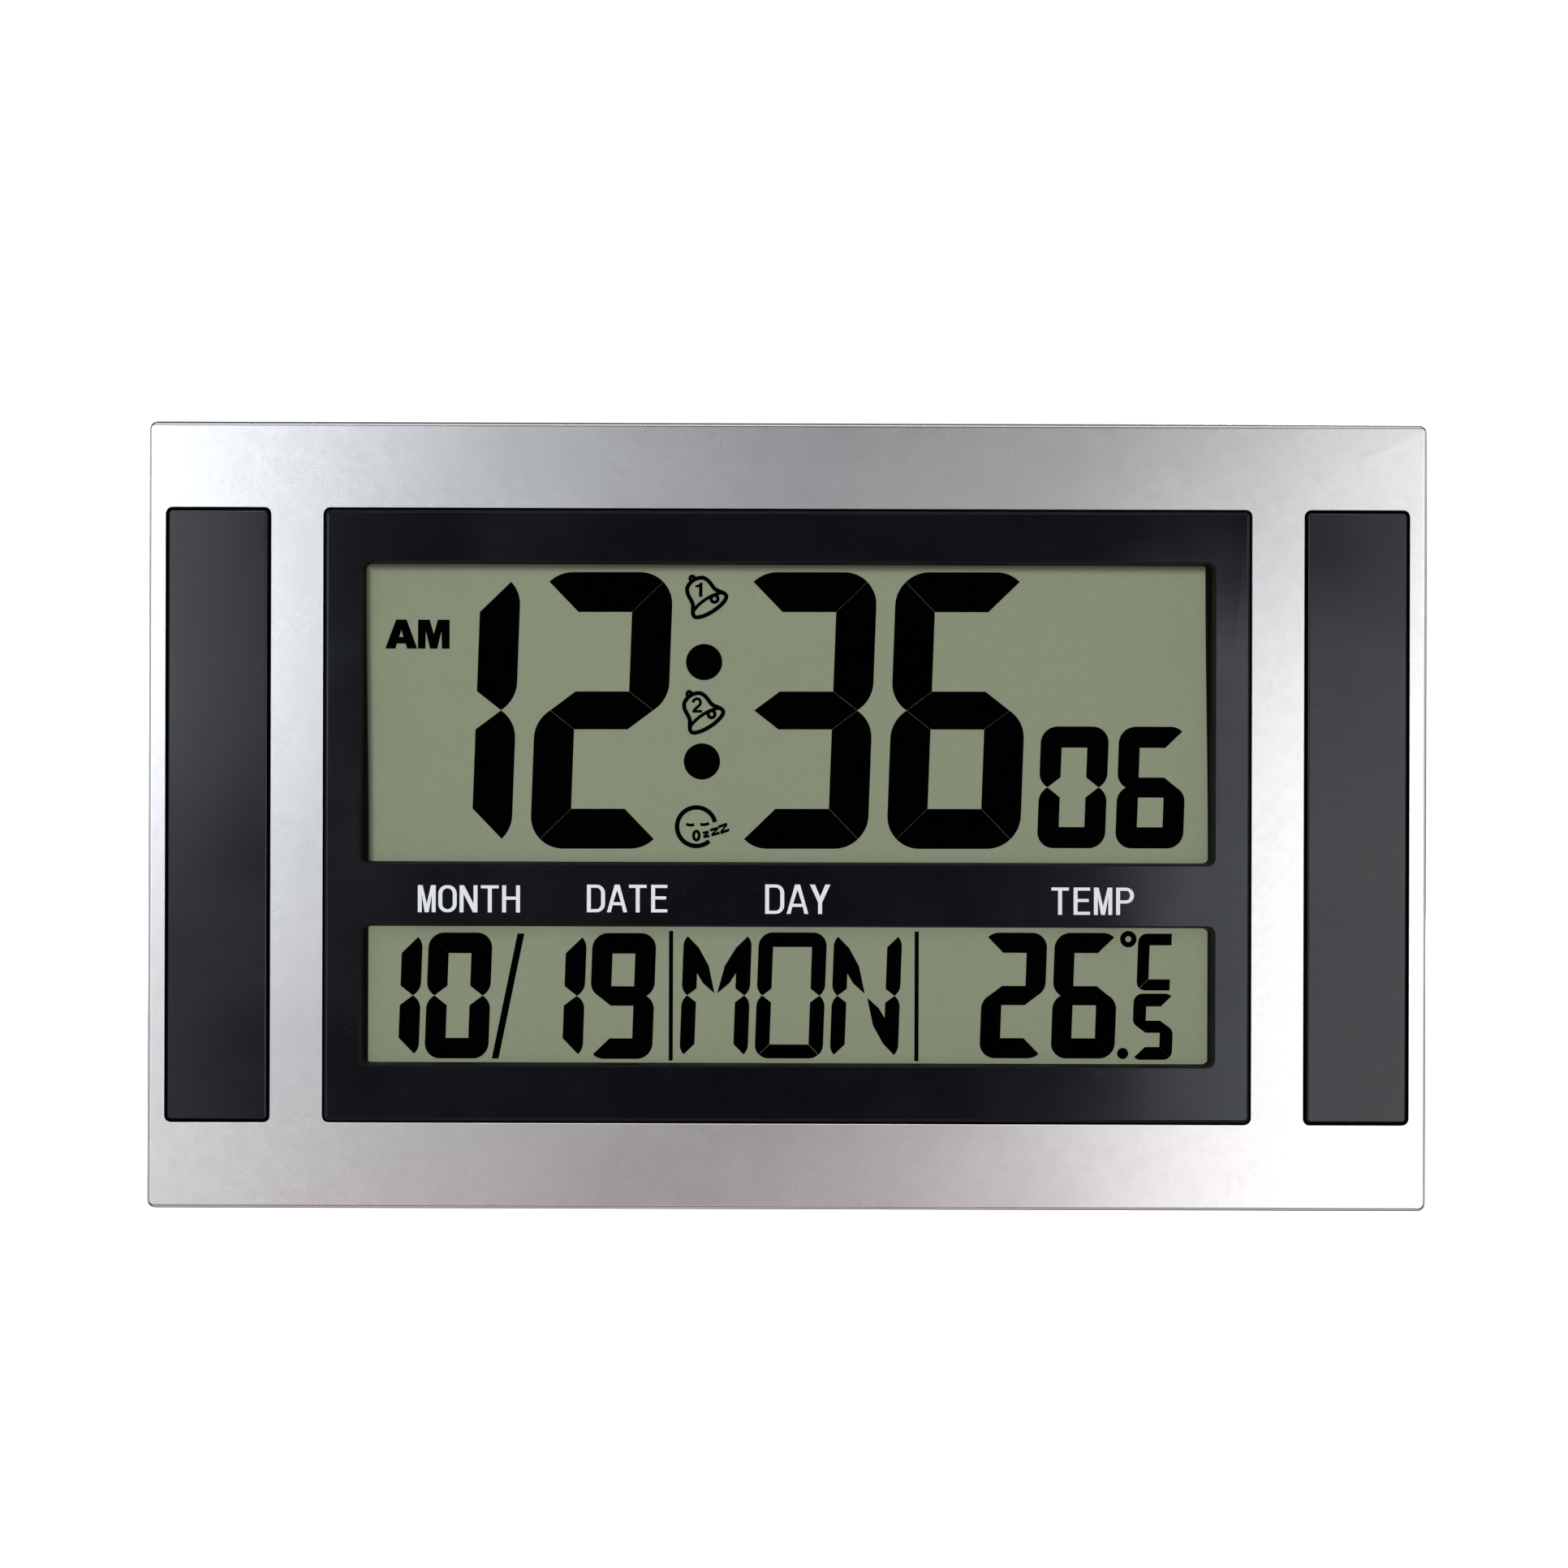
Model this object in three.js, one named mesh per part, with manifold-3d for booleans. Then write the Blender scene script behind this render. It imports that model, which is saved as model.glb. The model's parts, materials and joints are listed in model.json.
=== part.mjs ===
// Digital clock with a large liquid crystal display, for a desk or a wall.
// Millimetres, +Z up. The front looks along -Y, +X is on the right as the clock is read.
// The origin is on the standing surface, in the middle of the case's width and depth.
// Depths in this file are measured from the foremost plane of the front, and grow towards the back.
import * as THREE from 'three';
import { mergeVertices } from 'three/addons/utils/BufferGeometryUtils.js';
import Module from 'manifold-3d';

const wasm = await Module();
wasm.setup();

// Clearances and overlaps
const FIT_GAP = 0.3; // round a piece that seats in another
const STACK_GAP = 0.05; // between flat faces that are pressed together
const CUT_OVER = 1; // a cut runs this far past the wall that it opens
const ROOT = 0.5; // a boss or wall is rooted this far in the plate that carries it

// Facets
const CORNER_STEPS = 2;
const EDGE_STEPS = 3;
const ROUND_SIDES = 12;
const SCREW_SIDES = 8;
const WIDE_SIDES = 24; // on rods wider than about 10 mm
const WIRE_SIDES = 8;
const BATTERY_LEAD_STEPS = 14;
const BUZZER_LEAD_STEPS = 11;
const BEAD_SIDES = 10;
const BEAD_ROWS = 6;
const SMALLEST_CORNER = 0.2;
const SAME_POINT = 0.02;

// Case
const CASE_WIDTH = 265;
const CASE_HEIGHT = 163;
const CASE_CORNER = 1.6;
const FRONT_ROUND = 0.9;
const BEZEL_WALL = 2.2;
const BEZEL_DEPTH = 18;
const COVER_STEP = 0.4; // the cover is this much smaller than the bezel all round
const COVER_PLATE = 2;
const COVER_SIDE = 2.4;
const COVER_ROUND = 4;
const COVER_BACK_CORNER = 3;
const LIP_LENGTH = 3.5;
const LIP_WALL = 1.5;
const LIP_ROOT = 2.2;

// Layout of the front
const BAND = 17.85; // silver band above and below the inserts
const SIDE_MARGIN = 3.7;
const INLAY_WIDTH = 21.7;
const PILLAR = 10.95; // silver bar between an inlay and the display frame
const INSERT_PROUD = 0.4;
const INSERT_SEAM = 0.35;
const INSERT_ROUND = 0.7;
const INSERT_CORNER = 1.3;
const INLAY_THICK = 2.15;
const INLAY_POCKET_FLOOR = 1.4;
const INLAY_POCKET_WALL = 2;

// Display frame
const SIDE_BAR = 7.65;
const TOP_BAR = 11.05;
const MIDDLE_BAR = 12.85;
const BOTTOM_BAR = 11.95;
const LOWER_WINDOW = 28.95;
const WINDOW_CORNER = 1.4;
const WINDOW_RECESS = 4;
const WINDOW_SIDE_DRAFT = 0.8;
const WINDOW_EDGE_DRAFT = 0.35;
const FRAME_PLATE = 1.8;
const FRAME_WALL = 1.6;
const FRAME_FLANGE = 2.5;
const WINDOW_SKIRT = 1.5;

// Liquid crystal panel and its holder
const POLARISER = 0.25;
const GLASS = 1.1;
const GLASS_OVERLAP = 3; // glass behind the frame on each side of the windows
const POLARISER_OVERLAP = 2;
const CONTACT_LEDGE = 4.6;
const PANEL_CORNER = 0.6;
const HOLDER_PLATE = 1.7;
const HOLDER_INSET = 0.5; // the holder is this much smaller than the frame's flange
const EAR_X = 62;
const EAR_INSET = 10.6; // from the case's edge to the ear's screw
const EAR_WIDTH = 8;
const EAR_BOSS = 6;
const ZEBRA_WIDTH = 2.4;
const ZEBRA_SHORT = 6; // the strip stops this far from the glass's ends

// Main board and what it carries
const BOARD_WIDTH = 178;
const BOARD_HEIGHT = 52;
const BOARD_THICK = 1.6;
const BOARD_CORNER = 1;
const BOARD_STANDOFF = 2.5;
const STANDOFF_SIZE = 5;
const BOARD_SCREW_INSET = 4;
const CHIP_RADIUS = 7;
const CHIP_HEIGHT = 1.6;
const CHIP_SHOULDER = { out: 0.85, up: 0.6 }; // shares of the blob's radius and height
const CHIP_CROWN = { out: 0.5, up: 0.93 };
const CHIP_X = 24;
const CRYSTAL_RADIUS = 1.5;
const CRYSTAL_LENGTH = 8;
const CRYSTAL_X = 44;
const CHIP_ROW = 14; // from the board's top edge to the chip and the crystal
const THERMISTOR_X = -50;
const BEAD_RADIUS = 1.3;
const LEAD_RADIUS = 0.3;
const LEAD_PITCH = 1.6;
const LEAD_ON_BOARD = 2;
const LEAD_DROP = 4;

// Buttons and switches
const BUTTON_NAMES = ['mode', 'set', 'up', 'down', 'alarm'];
const BUTTON_PITCH = 18;
const BUTTON_FROM_TOP = 51;
const BUTTON_LENGTH = 10;
const BUTTON_WIDTH = 6;
const BUTTON_TRAVEL = 0.8;
const BUTTON_ROUND = 0.6;
const BUTTON_BELOW = 0.3; // the caps stay this far below the back plane
const BUTTON_COLLAR = 1; // the retaining collar is this much wider than the cap
const COLLAR_THICK = 1;
const STEM_RADIUS = 1.8;
const KEY_RECESS = 1.5;
const KEY_FLOOR = 2;
const KEY_MARGIN = 4;
const KEY_PAD_WALL = 1.5;
const SWITCH_SIZE = 6.2;
const SWITCH_HEIGHT = 3.4;
const SWITCH_CORNER = 0.4;
const PLUNGER_RADIUS = 1.65;
const PLUNGER_ABOVE = 1.3;
const PLUNGER_IN = 0.8;

// Screws
const COVER_SCREW = { shank: 1.2, length: 10, head: 2.4, height: 1.8 };
const SMALL_SCREW = { shank: 1, length: 5, head: 2, height: 1.3 };
const COVER_SCREW_INSET_X = 14.5;
const COVER_SCREW_INSET_Z = 10;
const COVER_BOSS = 7;
const BOSS_DROP = 1; // the bezel's bosses end this far short of its rim
const WELL_SEAT = 2;
const WELL_BORE = 5.6;
const WELL_TUBE_WALL = 1.6;
const PILOT_SPARE = 0.4;
const HEAD_CROWN = 0.7; // flat share of a head's radius

// Battery bay
const CELL_DIAMETER = 14.5;
const CELL_LENGTH = 50.5;
const CELL_ROUND = 0.6;
const NUB_RADIUS = 2.75;
const NUB_LENGTH = 1;
const CELL_SPACE = 0.4;
const CELL_HEADROOM = 0.6;
const BAY_X = 72;
const BAY_Z = 46;
const BAY_WALL = 1.5;
const BAY_CORNER = 1;
const BAY_CLEARANCE = 0.65;
const CRADLE_LENGTH = 36;
const CRADLE_WIDTH = 2;
const CRADLE_HEIGHT = 2;
const CONTACT_THICK = 0.5;
const CONTACT_SIZE = 11;
const TAB_WIDTH = 4;
const TAB_REACH = 2.5;
const TAB_FROM_AXIS = 4.5;
const SPRING_LENGTH = 5.8;
const SPRING_WIRE = 0.8;
const SPRING_BASE = 4.2;
const SPRING_TIP = 2.8;
const SPRING_RUN_IN = 1.2; // from an end to the first turn
const SPRING_TURNS = 2.5;
const SPRING_STEPS = 8; // on each turn
const SPRING_SIDES = 5;

// Battery door
const DOOR_THICK = 1.8;
const DOOR_LEDGE = 3.2;
const DOOR_LEDGE_WALL = 1.7;
const DOOR_PAD_WALL = 1.5;
const DOOR_CORNER = 2;
const DOOR_ROUND = 0.4;
const HOOK_X = 20;
const HOOK_WIDTH = 8;
const HOOK_REACH = 1.6;
const HOOK_THICK = 0.8;
const LATCH_WIDTH = 10;
const LATCH_REACH = 0.9;
const LATCH_THICK = 0.7;
const GRIP_LENGTH = 18;
const GRIP_DEPTH = 0.7;
const GRIP_RADIUS = 7;
const GRIP_FROM_EDGE = 7;

// Stand leg and its well
const STAND_FOOT_Z = 6; // the folded leg's foot above the standing surface
const STAND_LENGTH = 68;
const STAND_HEEL = 6;
const STAND_TOP_WIDTH = 58;
const STAND_FOOT_WIDTH = 44;
const STAND_CORNER = 4;
const STAND_THICK = 5;
const STAND_PLATE = 2;
const STAND_RIM = 1.8;
const STAND_RIB = 1.6;
const STAND_ROUND = 0.5;
const STAND_OPEN = 30; // degrees
const STOP_GAP = 0.1;
const WELL_GAP = 0.6;
const WELL_WALL = 1.5;
const TRUNNION_RADIUS = 1.5;
const TRUNNION_REACH = 1.2;
const NOTCH_WIDTH = 13;
const NOTCH_HEIGHT = 14;
const NOTCH_DEPTH = 6;
const NOTCH_Z = 16;
const NOTCH_CORNER = 4;

// Keyholes for hanging
const KEYHOLE_X = 70;
const KEYHOLE_FROM_TOP = 29;
const KEYHOLE_ENTRY = 10;
const KEYHOLE_SLOT = 5;
const KEYHOLE_RISE = 8.5;
const KEYHOLE_ROOM = 5;
const KEYHOLE_POCKET = 13;
const KEYHOLE_WALL = 1.5;

// Buzzer and openings for sound and air
const BUZZER_X = -78;
const BUZZER_Z = 46;
const BUZZER_RADIUS = 13.5;
const BUZZER_THICK = 0.3;
const CERAMIC_RADIUS = 10;
const CERAMIC_THICK = 0.25;
const BUZZER_SHELF = 1.6;
const BUZZER_CAVITY = 0.9;
const BUZZER_RING_HEIGHT = 2.4;
const BUZZER_RING_WALL = 1.5;
const SOUND_HOLE = 1;
const SOUND_CIRCLE = 6;
const SOUND_HOLES = 6;
const VENT_LENGTH = 14;
const VENT_WIDTH = 1.6;
const VENT_PITCH = 3.4;
const VENT_COUNT = 4;

// Leads
const WIRE_RADIUS = 0.65;
const RED_LEAD_INSET = 12; // from the board's end to where the lead is soldered
const BLACK_LEAD_INSET = 32;
const RED_LEAD_OUT = 4; // from the tab's end to the lead's rise
const BLACK_LEAD_OUT = 1;
const LEAD_TURN = 3; // above the bay, where the battery leads turn towards the board
const BUZZER_LEAD_SPREAD = 4;
const LEAD_BEND = 2.6; // from a solder joint to the lead's first bend
const LEAD_LAND = 3.9; // length of a lead along the board

// Depths of the stack, front to back
const silverFace = INSERT_PROUD;
const silverBack = silverFace + BEZEL_WALL;
const flangeFront = silverBack + STACK_GAP;
const polariserFront = WINDOW_RECESS + STACK_GAP;
const frontGlassFront = polariserFront + POLARISER + STACK_GAP;
const frontGlassBack = frontGlassFront + GLASS;
const rearGlassFront = frontGlassBack + STACK_GAP;
const rearGlassBack = rearGlassFront + GLASS;
const reflectorFront = rearGlassBack + STACK_GAP;
const reflectorBack = reflectorFront + POLARISER;
const holderFront = WINDOW_RECESS + STACK_GAP;
const holderPlateFront = reflectorBack + STACK_GAP;
const holderBack = holderPlateFront + HOLDER_PLATE;
const standoffTop = holderBack + BOARD_STANDOFF;
const boardFront = standoffTop + STACK_GAP;
const boardBack = boardFront + BOARD_THICK;
const bayFloorFront = holderBack + BAY_CLEARANCE;
const bayFloor = bayFloorFront + BAY_WALL;
const cellAxis = bayFloor + FIT_GAP + CELL_DIAMETER / 2;
const doorInside = cellAxis + CELL_DIAMETER / 2 + CELL_HEADROOM;
const caseDepth = doorInside + DOOR_THICK;
const coverInside = caseDepth - COVER_PLATE;
const parting = BEZEL_DEPTH + FIT_GAP;
const bossTop = BEZEL_DEPTH - BOSS_DROP;
const coverScrewSeat = bossTop + STACK_GAP + WELL_SEAT;
const earSeat = holderBack + STACK_GAP;
const earBossTop = holderPlateFront - STACK_GAP;
const boardSeat = boardBack + STACK_GAP;
const switchFront = boardBack + STACK_GAP;
const switchBack = switchFront + SWITCH_HEIGHT;
const plungerFoot = switchBack - PLUNGER_IN;
const plungerTop = switchBack + PLUNGER_ABOVE;
const keyFloor = caseDepth - KEY_RECESS;
const keyPadFront = keyFloor - KEY_FLOOR;
const collarBack = keyPadFront - FIT_GAP;
const collarFront = collarBack - COLLAR_THICK;
const tabDepth = cellAxis - TAB_FROM_AXIS;
const hookBack = doorInside + HOOK_THICK;
const latchFront = doorInside + STACK_GAP;
const buzzerShelf = coverInside - BUZZER_CAVITY;
const discFront = buzzerShelf - STACK_GAP - BUZZER_THICK;
const ceramicFront = discFront - STACK_GAP - CERAMIC_THICK;
const wireOnTab = tabDepth - CONTACT_THICK / 2 - FIT_GAP - WIRE_RADIUS;
const wireOnBoard = boardBack + FIT_GAP + WIRE_RADIUS;
const wireOnCeramic = ceramicFront - FIT_GAP - WIRE_RADIUS;
const wireOnDisc = discFront - FIT_GAP - WIRE_RADIUS;

// Places on the front
const midZ = CASE_HEIGHT / 2;
const inlayX = CASE_WIDTH / 2 - SIDE_MARGIN - INLAY_WIDTH / 2;
const insertHeight = CASE_HEIGHT - 2 * BAND;
const frameWidth = CASE_WIDTH - 2 * (SIDE_MARGIN + INLAY_WIDTH + PILLAR);
const windowWidth = frameWidth - 2 * SIDE_BAR;
const lowerWindowBottom = BAND + BOTTOM_BAR;
const lowerWindowTop = lowerWindowBottom + LOWER_WINDOW;
const upperWindowBottom = lowerWindowTop + MIDDLE_BAR;
const upperWindowTop = CASE_HEIGHT - BAND - TOP_BAR;
const glassWidth = windowWidth + 2 * GLASS_OVERLAP;
const glassBottom = lowerWindowBottom - GLASS_OVERLAP;
const rearGlassTop = upperWindowTop + GLASS_OVERLAP;
const frontGlassTop = rearGlassTop + CONTACT_LEDGE;
const polariserWidth = windowWidth + 2 * POLARISER_OVERLAP;
const polariserBottom = lowerWindowBottom - POLARISER_OVERLAP;
const polariserTop = upperWindowTop + POLARISER_OVERLAP;
const zebraLength = glassWidth - 2 * ZEBRA_SHORT;
const zebraZ = (rearGlassTop + frontGlassTop) / 2;
const holderTop = CASE_HEIGHT - BAND + FRAME_FLANGE - HOLDER_INSET;
const holderWidth = frameWidth + 2 * (FRAME_FLANGE - HOLDER_INSET);

// Places on the back
const boardTop = holderTop - HOLDER_INSET;
const boardBottom = boardTop - BOARD_HEIGHT;
const buttonZ = CASE_HEIGHT - BUTTON_FROM_TOP;
const bayLength = CELL_LENGTH + SPRING_LENGTH + 2 * (CONTACT_THICK + FIT_GAP + STACK_GAP);
const bayWidth = 2 * CELL_DIAMETER + CELL_SPACE + 2 * FIT_GAP;
const cellPitch = CELL_DIAMETER + CELL_SPACE;
const bayLeft = BAY_X - bayLength / 2;
const bayRight = BAY_X + bayLength / 2;
const upperCellZ = BAY_Z + cellPitch / 2;
const lowerCellZ = BAY_Z - cellPitch / 2;
const rightPlateFace = bayRight - FIT_GAP - CONTACT_THICK;
const leftPlateFace = bayLeft + FIT_GAP + CONTACT_THICK;
const plateHalf = CONTACT_SIZE / 2;
const tabEndX = bayRight + BAY_WALL + TAB_REACH;
const leadTurnZ = BAY_Z + bayWidth / 2 + BAY_WALL + LEAD_TURN;
const hookPlaces = [BAY_X - HOOK_X, BAY_X + HOOK_X];
const rimX = BUZZER_X - (CERAMIC_RADIUS + BUZZER_RADIUS) / 2;
const doorWidth = bayLength + 2 * DOOR_LEDGE;
const doorHeight = bayWidth + 2 * DOOR_LEDGE;
const doorTop = BAY_Z + doorHeight / 2;
const doorBottom = BAY_Z - doorHeight / 2;
const doorSeat = doorInside - STACK_GAP;
const standAxis = caseDepth - STAND_THICK / 2;
const standAxisZ = STAND_FOOT_Z + STAND_LENGTH;
const heelRadius = Math.hypot(STAND_HEEL, STAND_THICK / 2);
const heelAngle = Math.atan2(STAND_THICK / 2, STAND_HEEL);
const heelDrop = heelRadius * Math.sin(THREE.MathUtils.degToRad(STAND_OPEN) + heelAngle);
const wellFloor = standAxis - heelDrop - STOP_GAP;

/** A depth from the front as a place along Y. */
function toY(depth) {
  return depth - caseDepth / 2;
}

/** A closed geometry as a solid, with shared vertices merged and triangles of no area left out. */
function solidOf(geometry) {
  const bare = geometry.clone();
  bare.deleteAttribute('normal');
  bare.deleteAttribute('uv');
  const merged = mergeVertices(bare);
  const corners = merged.index.array;
  const kept = [];
  for (let i = 0; i < corners.length; i += 3) {
    const [a, b, c] = corners.slice(i, i + 3);
    if (a !== b && b !== c && c !== a) {
      kept.push(a, b, c);
    }
  }
  const mesh = new wasm.Mesh({
    numProp: 3,
    vertProperties: merged.attributes.position.array,
    triVerts: new Uint32Array(kept),
  });
  return new wasm.Manifold(mesh);
}

/** A solid's triangles as a geometry. */
function geometryOf(solid) {
  const mesh = solid.getMesh();
  const geometry = new THREE.BufferGeometry();
  geometry.setAttribute('position', new THREE.Float32BufferAttribute(mesh.vertProperties, 3));
  geometry.setIndex(new THREE.Uint32BufferAttribute(mesh.triVerts, 1));
  return geometry;
}

/** The points of a closed shape, without a repeated last point. */
function ringOf(shape) {
  const points = shape.getPoints(CORNER_STEPS);
  if (points[0].distanceTo(points.at(-1)) < SAME_POINT) {
    points.pop();
  }
  return points;
}

/** Outline of a rectangle with round corners, counter-clockwise as seen from the front. */
function roundedRect({ width, height, corner, x = 0, z = 0 }) {
  const radius = Math.min(Math.max(corner, SMALLEST_CORNER), width / 2, height / 2);
  const right = x + width / 2 - radius;
  const left = x - width / 2 + radius;
  const top = z + height / 2 - radius;
  const bottom = z - height / 2 + radius;
  const quarter = Math.PI / 2;
  const shape = new THREE.Shape();
  shape.absarc(right, bottom, radius, -quarter, 0);
  shape.absarc(right, top, radius, 0, quarter);
  shape.absarc(left, top, radius, quarter, 2 * quarter);
  shape.absarc(left, bottom, radius, 2 * quarter, 3 * quarter);
  return ringOf(shape);
}

/** Triangles that fill a ring, each turned the way that the ring runs. */
function capOf(points) {
  return THREE.ShapeUtils.triangulateShape(points, []).map(([a, b, c]) => {
    const area = THREE.ShapeUtils.area([points[a], points[b], points[c]]);
    return area > 0 ? [a, b, c] : [a, c, b];
  });
}

/** Solid through rings of as many points each, listed from front to back. */
function loft(rings) {
  const count = rings[0].points.length;
  const positions = [];
  for (const { depth, points } of rings) {
    for (const point of points) {
      positions.push(point.x, toY(depth), point.y);
    }
  }
  const index = [];
  for (let level = 0; level + 1 < rings.length; level += 1) {
    for (let k = 0; k < count; k += 1) {
      const here = level * count + k;
      const next = level * count + ((k + 1) % count);
      index.push(here, here + count, next, next, here + count, next + count);
    }
  }
  for (const [a, b, c] of capOf(rings[0].points)) {
    index.push(a, b, c);
  }
  const last = (rings.length - 1) * count;
  for (const [a, b, c] of capOf(rings.at(-1).points)) {
    index.push(last + a, last + c, last + b);
  }
  const geometry = new THREE.BufferGeometry();
  geometry.setAttribute('position', new THREE.Float32BufferAttribute(positions, 3));
  geometry.setIndex(index);
  return solidOf(geometry);
}

/** Loft of one rounded rectangle, set in by each section's own amount. */
function loftRect(rect, sections) {
  const rings = sections.map(({ depth, inset = 0, insetZ = inset, corner }) => ({
    depth,
    points: roundedRect({
      ...rect,
      width: rect.width - 2 * inset,
      height: rect.height - 2 * insetZ,
      corner: corner ?? rect.corner - inset,
    }),
  }));
  return loft(rings);
}

/** Straight prism of a rounded rectangle between two depths. */
function slab(rect, front, back) {
  return loftRect(rect, [{ depth: front }, { depth: back }]);
}

/** Straight prism of any outline between two depths. */
function prism(points, front, back) {
  return loft([{ depth: front, points }, { depth: back, points }]);
}

/** Sections of an edge rounded by a quarter circle, from the face to the full outline. */
function roundedEdge(face, radius, direction) {
  const sections = [];
  for (let step = 0; step <= EDGE_STEPS; step += 1) {
    const angle = ((step / EDGE_STEPS) * Math.PI) / 2;
    const depth = face + direction * radius * (1 - Math.cos(angle));
    sections.push({ depth, inset: radius * (1 - Math.sin(angle)) });
  }
  return direction > 0 ? sections : sections.reverse();
}

/** Rectangular block between two corners, given across, in depth and upwards. */
function block([x0, x1], [front, back], [z0, z1]) {
  const geometry = new THREE.BoxGeometry(x1 - x0, back - front, z1 - z0);
  geometry.translate((x0 + x1) / 2, (toY(front) + toY(back)) / 2, (z0 + z1) / 2);
  return solidOf(geometry);
}

/** Round rod along the depth. */
function rod(radius, front, back, x, z, sides = ROUND_SIDES) {
  const geometry = new THREE.CylinderGeometry(radius, radius, back - front, sides);
  geometry.translate(x, (toY(front) + toY(back)) / 2, z);
  return solidOf(geometry);
}

/** Round rod across the clock, between two places along X. */
function crossRod(radius, x0, x1, depth, z, sides = ROUND_SIDES) {
  const geometry = new THREE.CylinderGeometry(radius, radius, x1 - x0, sides);
  geometry.rotateZ(Math.PI / 2);
  geometry.translate((x0 + x1) / 2, toY(depth), z);
  return solidOf(geometry);
}

/** Solid of revolution along the depth, from a profile of radius and depth listed from front to back. */
function turned(profile, x, z, sides = ROUND_SIDES) {
  const points = profile.map(([radius, depth]) => new THREE.Vector2(radius, toY(depth)));
  const geometry = new THREE.LatheGeometry(points, sides);
  geometry.translate(x, 0, z);
  return solidOf(geometry);
}

/** Round tube along a smooth curve through points given as [x, depth, z]. */
function tube(radius, points, steps, sides) {
  const path = new THREE.CatmullRomCurve3(
    points.map(([x, depth, z]) => new THREE.Vector3(x, toY(depth), z)),
    false,
    'centripetal',
  );
  const section = new THREE.Shape();
  for (let side = 0; side < sides; side += 1) {
    const angle = (side / sides) * 2 * Math.PI;
    const corner = [radius * Math.cos(angle), radius * Math.sin(angle)];
    if (side === 0) {
      section.moveTo(...corner);
    } else {
      section.lineTo(...corner);
    }
  }
  const geometry = new THREE.ExtrudeGeometry(section, { steps, extrudePath: path });
  return { solid: solidOf(geometry), centres: path.getSpacedPoints(steps) };
}

const clock = new THREE.Group();
clock.name = 'digital_clock';

const FINISHES = {
  silver: { color: 0xc9cacd, roughness: 0.34, metalness: 0.75 },
  black: { color: 0x17171a, roughness: 0.22, metalness: 0 },
  charcoal: { color: 0x33343a, roughness: 0.38, metalness: 0.2 },
  lcd: { color: 0x7f8870, roughness: 0.3, metalness: 0 },
  glass: { color: 0xc8d2c8, roughness: 0.08, metalness: 0 },
  reflector: { color: 0x9aa089, roughness: 0.5, metalness: 0.3 },
  white_plastic: { color: 0xe6e6e2, roughness: 0.55, metalness: 0 },
  rubber: { color: 0x3b3b3b, roughness: 0.85, metalness: 0 },
  board: { color: 0x1f6b3c, roughness: 0.45, metalness: 0 },
  epoxy: { color: 0x101012, roughness: 0.35, metalness: 0 },
  steel: { color: 0xb6b8bb, roughness: 0.3, metalness: 1 },
  grey_plastic: { color: 0x54565b, roughness: 0.6, metalness: 0 },
  key: { color: 0x2a2b2f, roughness: 0.5, metalness: 0 },
  brass: { color: 0xc7a14d, roughness: 0.32, metalness: 1 },
  ceramic: { color: 0xe9e4d6, roughness: 0.5, metalness: 0 },
  cell: { color: 0x2c5f8a, roughness: 0.35, metalness: 0.3 },
  red_lead: { color: 0xb3201c, roughness: 0.5, metalness: 0 },
  black_lead: { color: 0x141414, roughness: 0.5, metalness: 0 },
};

/** Adds one named piece to the clock. */
function addPiece(name, solid, finish) {
  const mesh = new THREE.Mesh(geometryOf(solid), new THREE.MeshStandardMaterial(FINISHES[finish]));
  mesh.name = name;
  clock.add(mesh);
}

/** Screw that points to the front, with the underside of its head at the seat. */
function screw({ shank, length, head, height }, seat, x, z) {
  const tip = seat - length;
  const profile = [
    [0, tip],
    [shank / 2, tip],
    [shank, tip + shank],
    [shank, seat],
    [head, seat],
    [head, seat + height / 2],
    [head * HEAD_CROWN, seat + height],
    [0, seat + height],
  ];
  return turned(profile, x, z, SCREW_SIDES);
}

/** Pilot hole below a screw's seat, down past its tip. */
function pilot(kind, seat, x, z) {
  return rod(kind.shank + FIT_GAP, seat - kind.length - PILOT_SPARE, seat + CUT_OVER, x, z, SCREW_SIDES);
}

const coverScrews = [-1, 1].flatMap((side) =>
  [COVER_SCREW_INSET_Z, midZ, CASE_HEIGHT - COVER_SCREW_INSET_Z].map((z) => ({
    x: side * (CASE_WIDTH / 2 - COVER_SCREW_INSET_X),
    z,
  })),
);
const earScrews = [-1, 1].flatMap((side) =>
  [EAR_INSET, CASE_HEIGHT - EAR_INSET].map((z) => ({ x: side * EAR_X, z })),
);
const boardScrews = [-1, 1].flatMap((side) =>
  [boardBottom + BOARD_SCREW_INSET, (frontGlassTop + holderTop) / 2].map((z) => ({
    x: side * (BOARD_WIDTH / 2 - BOARD_SCREW_INSET),
    z,
  })),
);

const frameOutline = { width: frameWidth, height: insertHeight, corner: INSERT_CORNER, z: midZ };
const caseOutline = { width: CASE_WIDTH, height: CASE_HEIGHT, corner: CASE_CORNER, z: midZ };

/** Outline of the pocket for one inlay. */
function inlayOutline(side) {
  return { width: INLAY_WIDTH, height: insertHeight, corner: INSERT_CORNER, x: side * inlayX, z: midZ };
}

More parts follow.
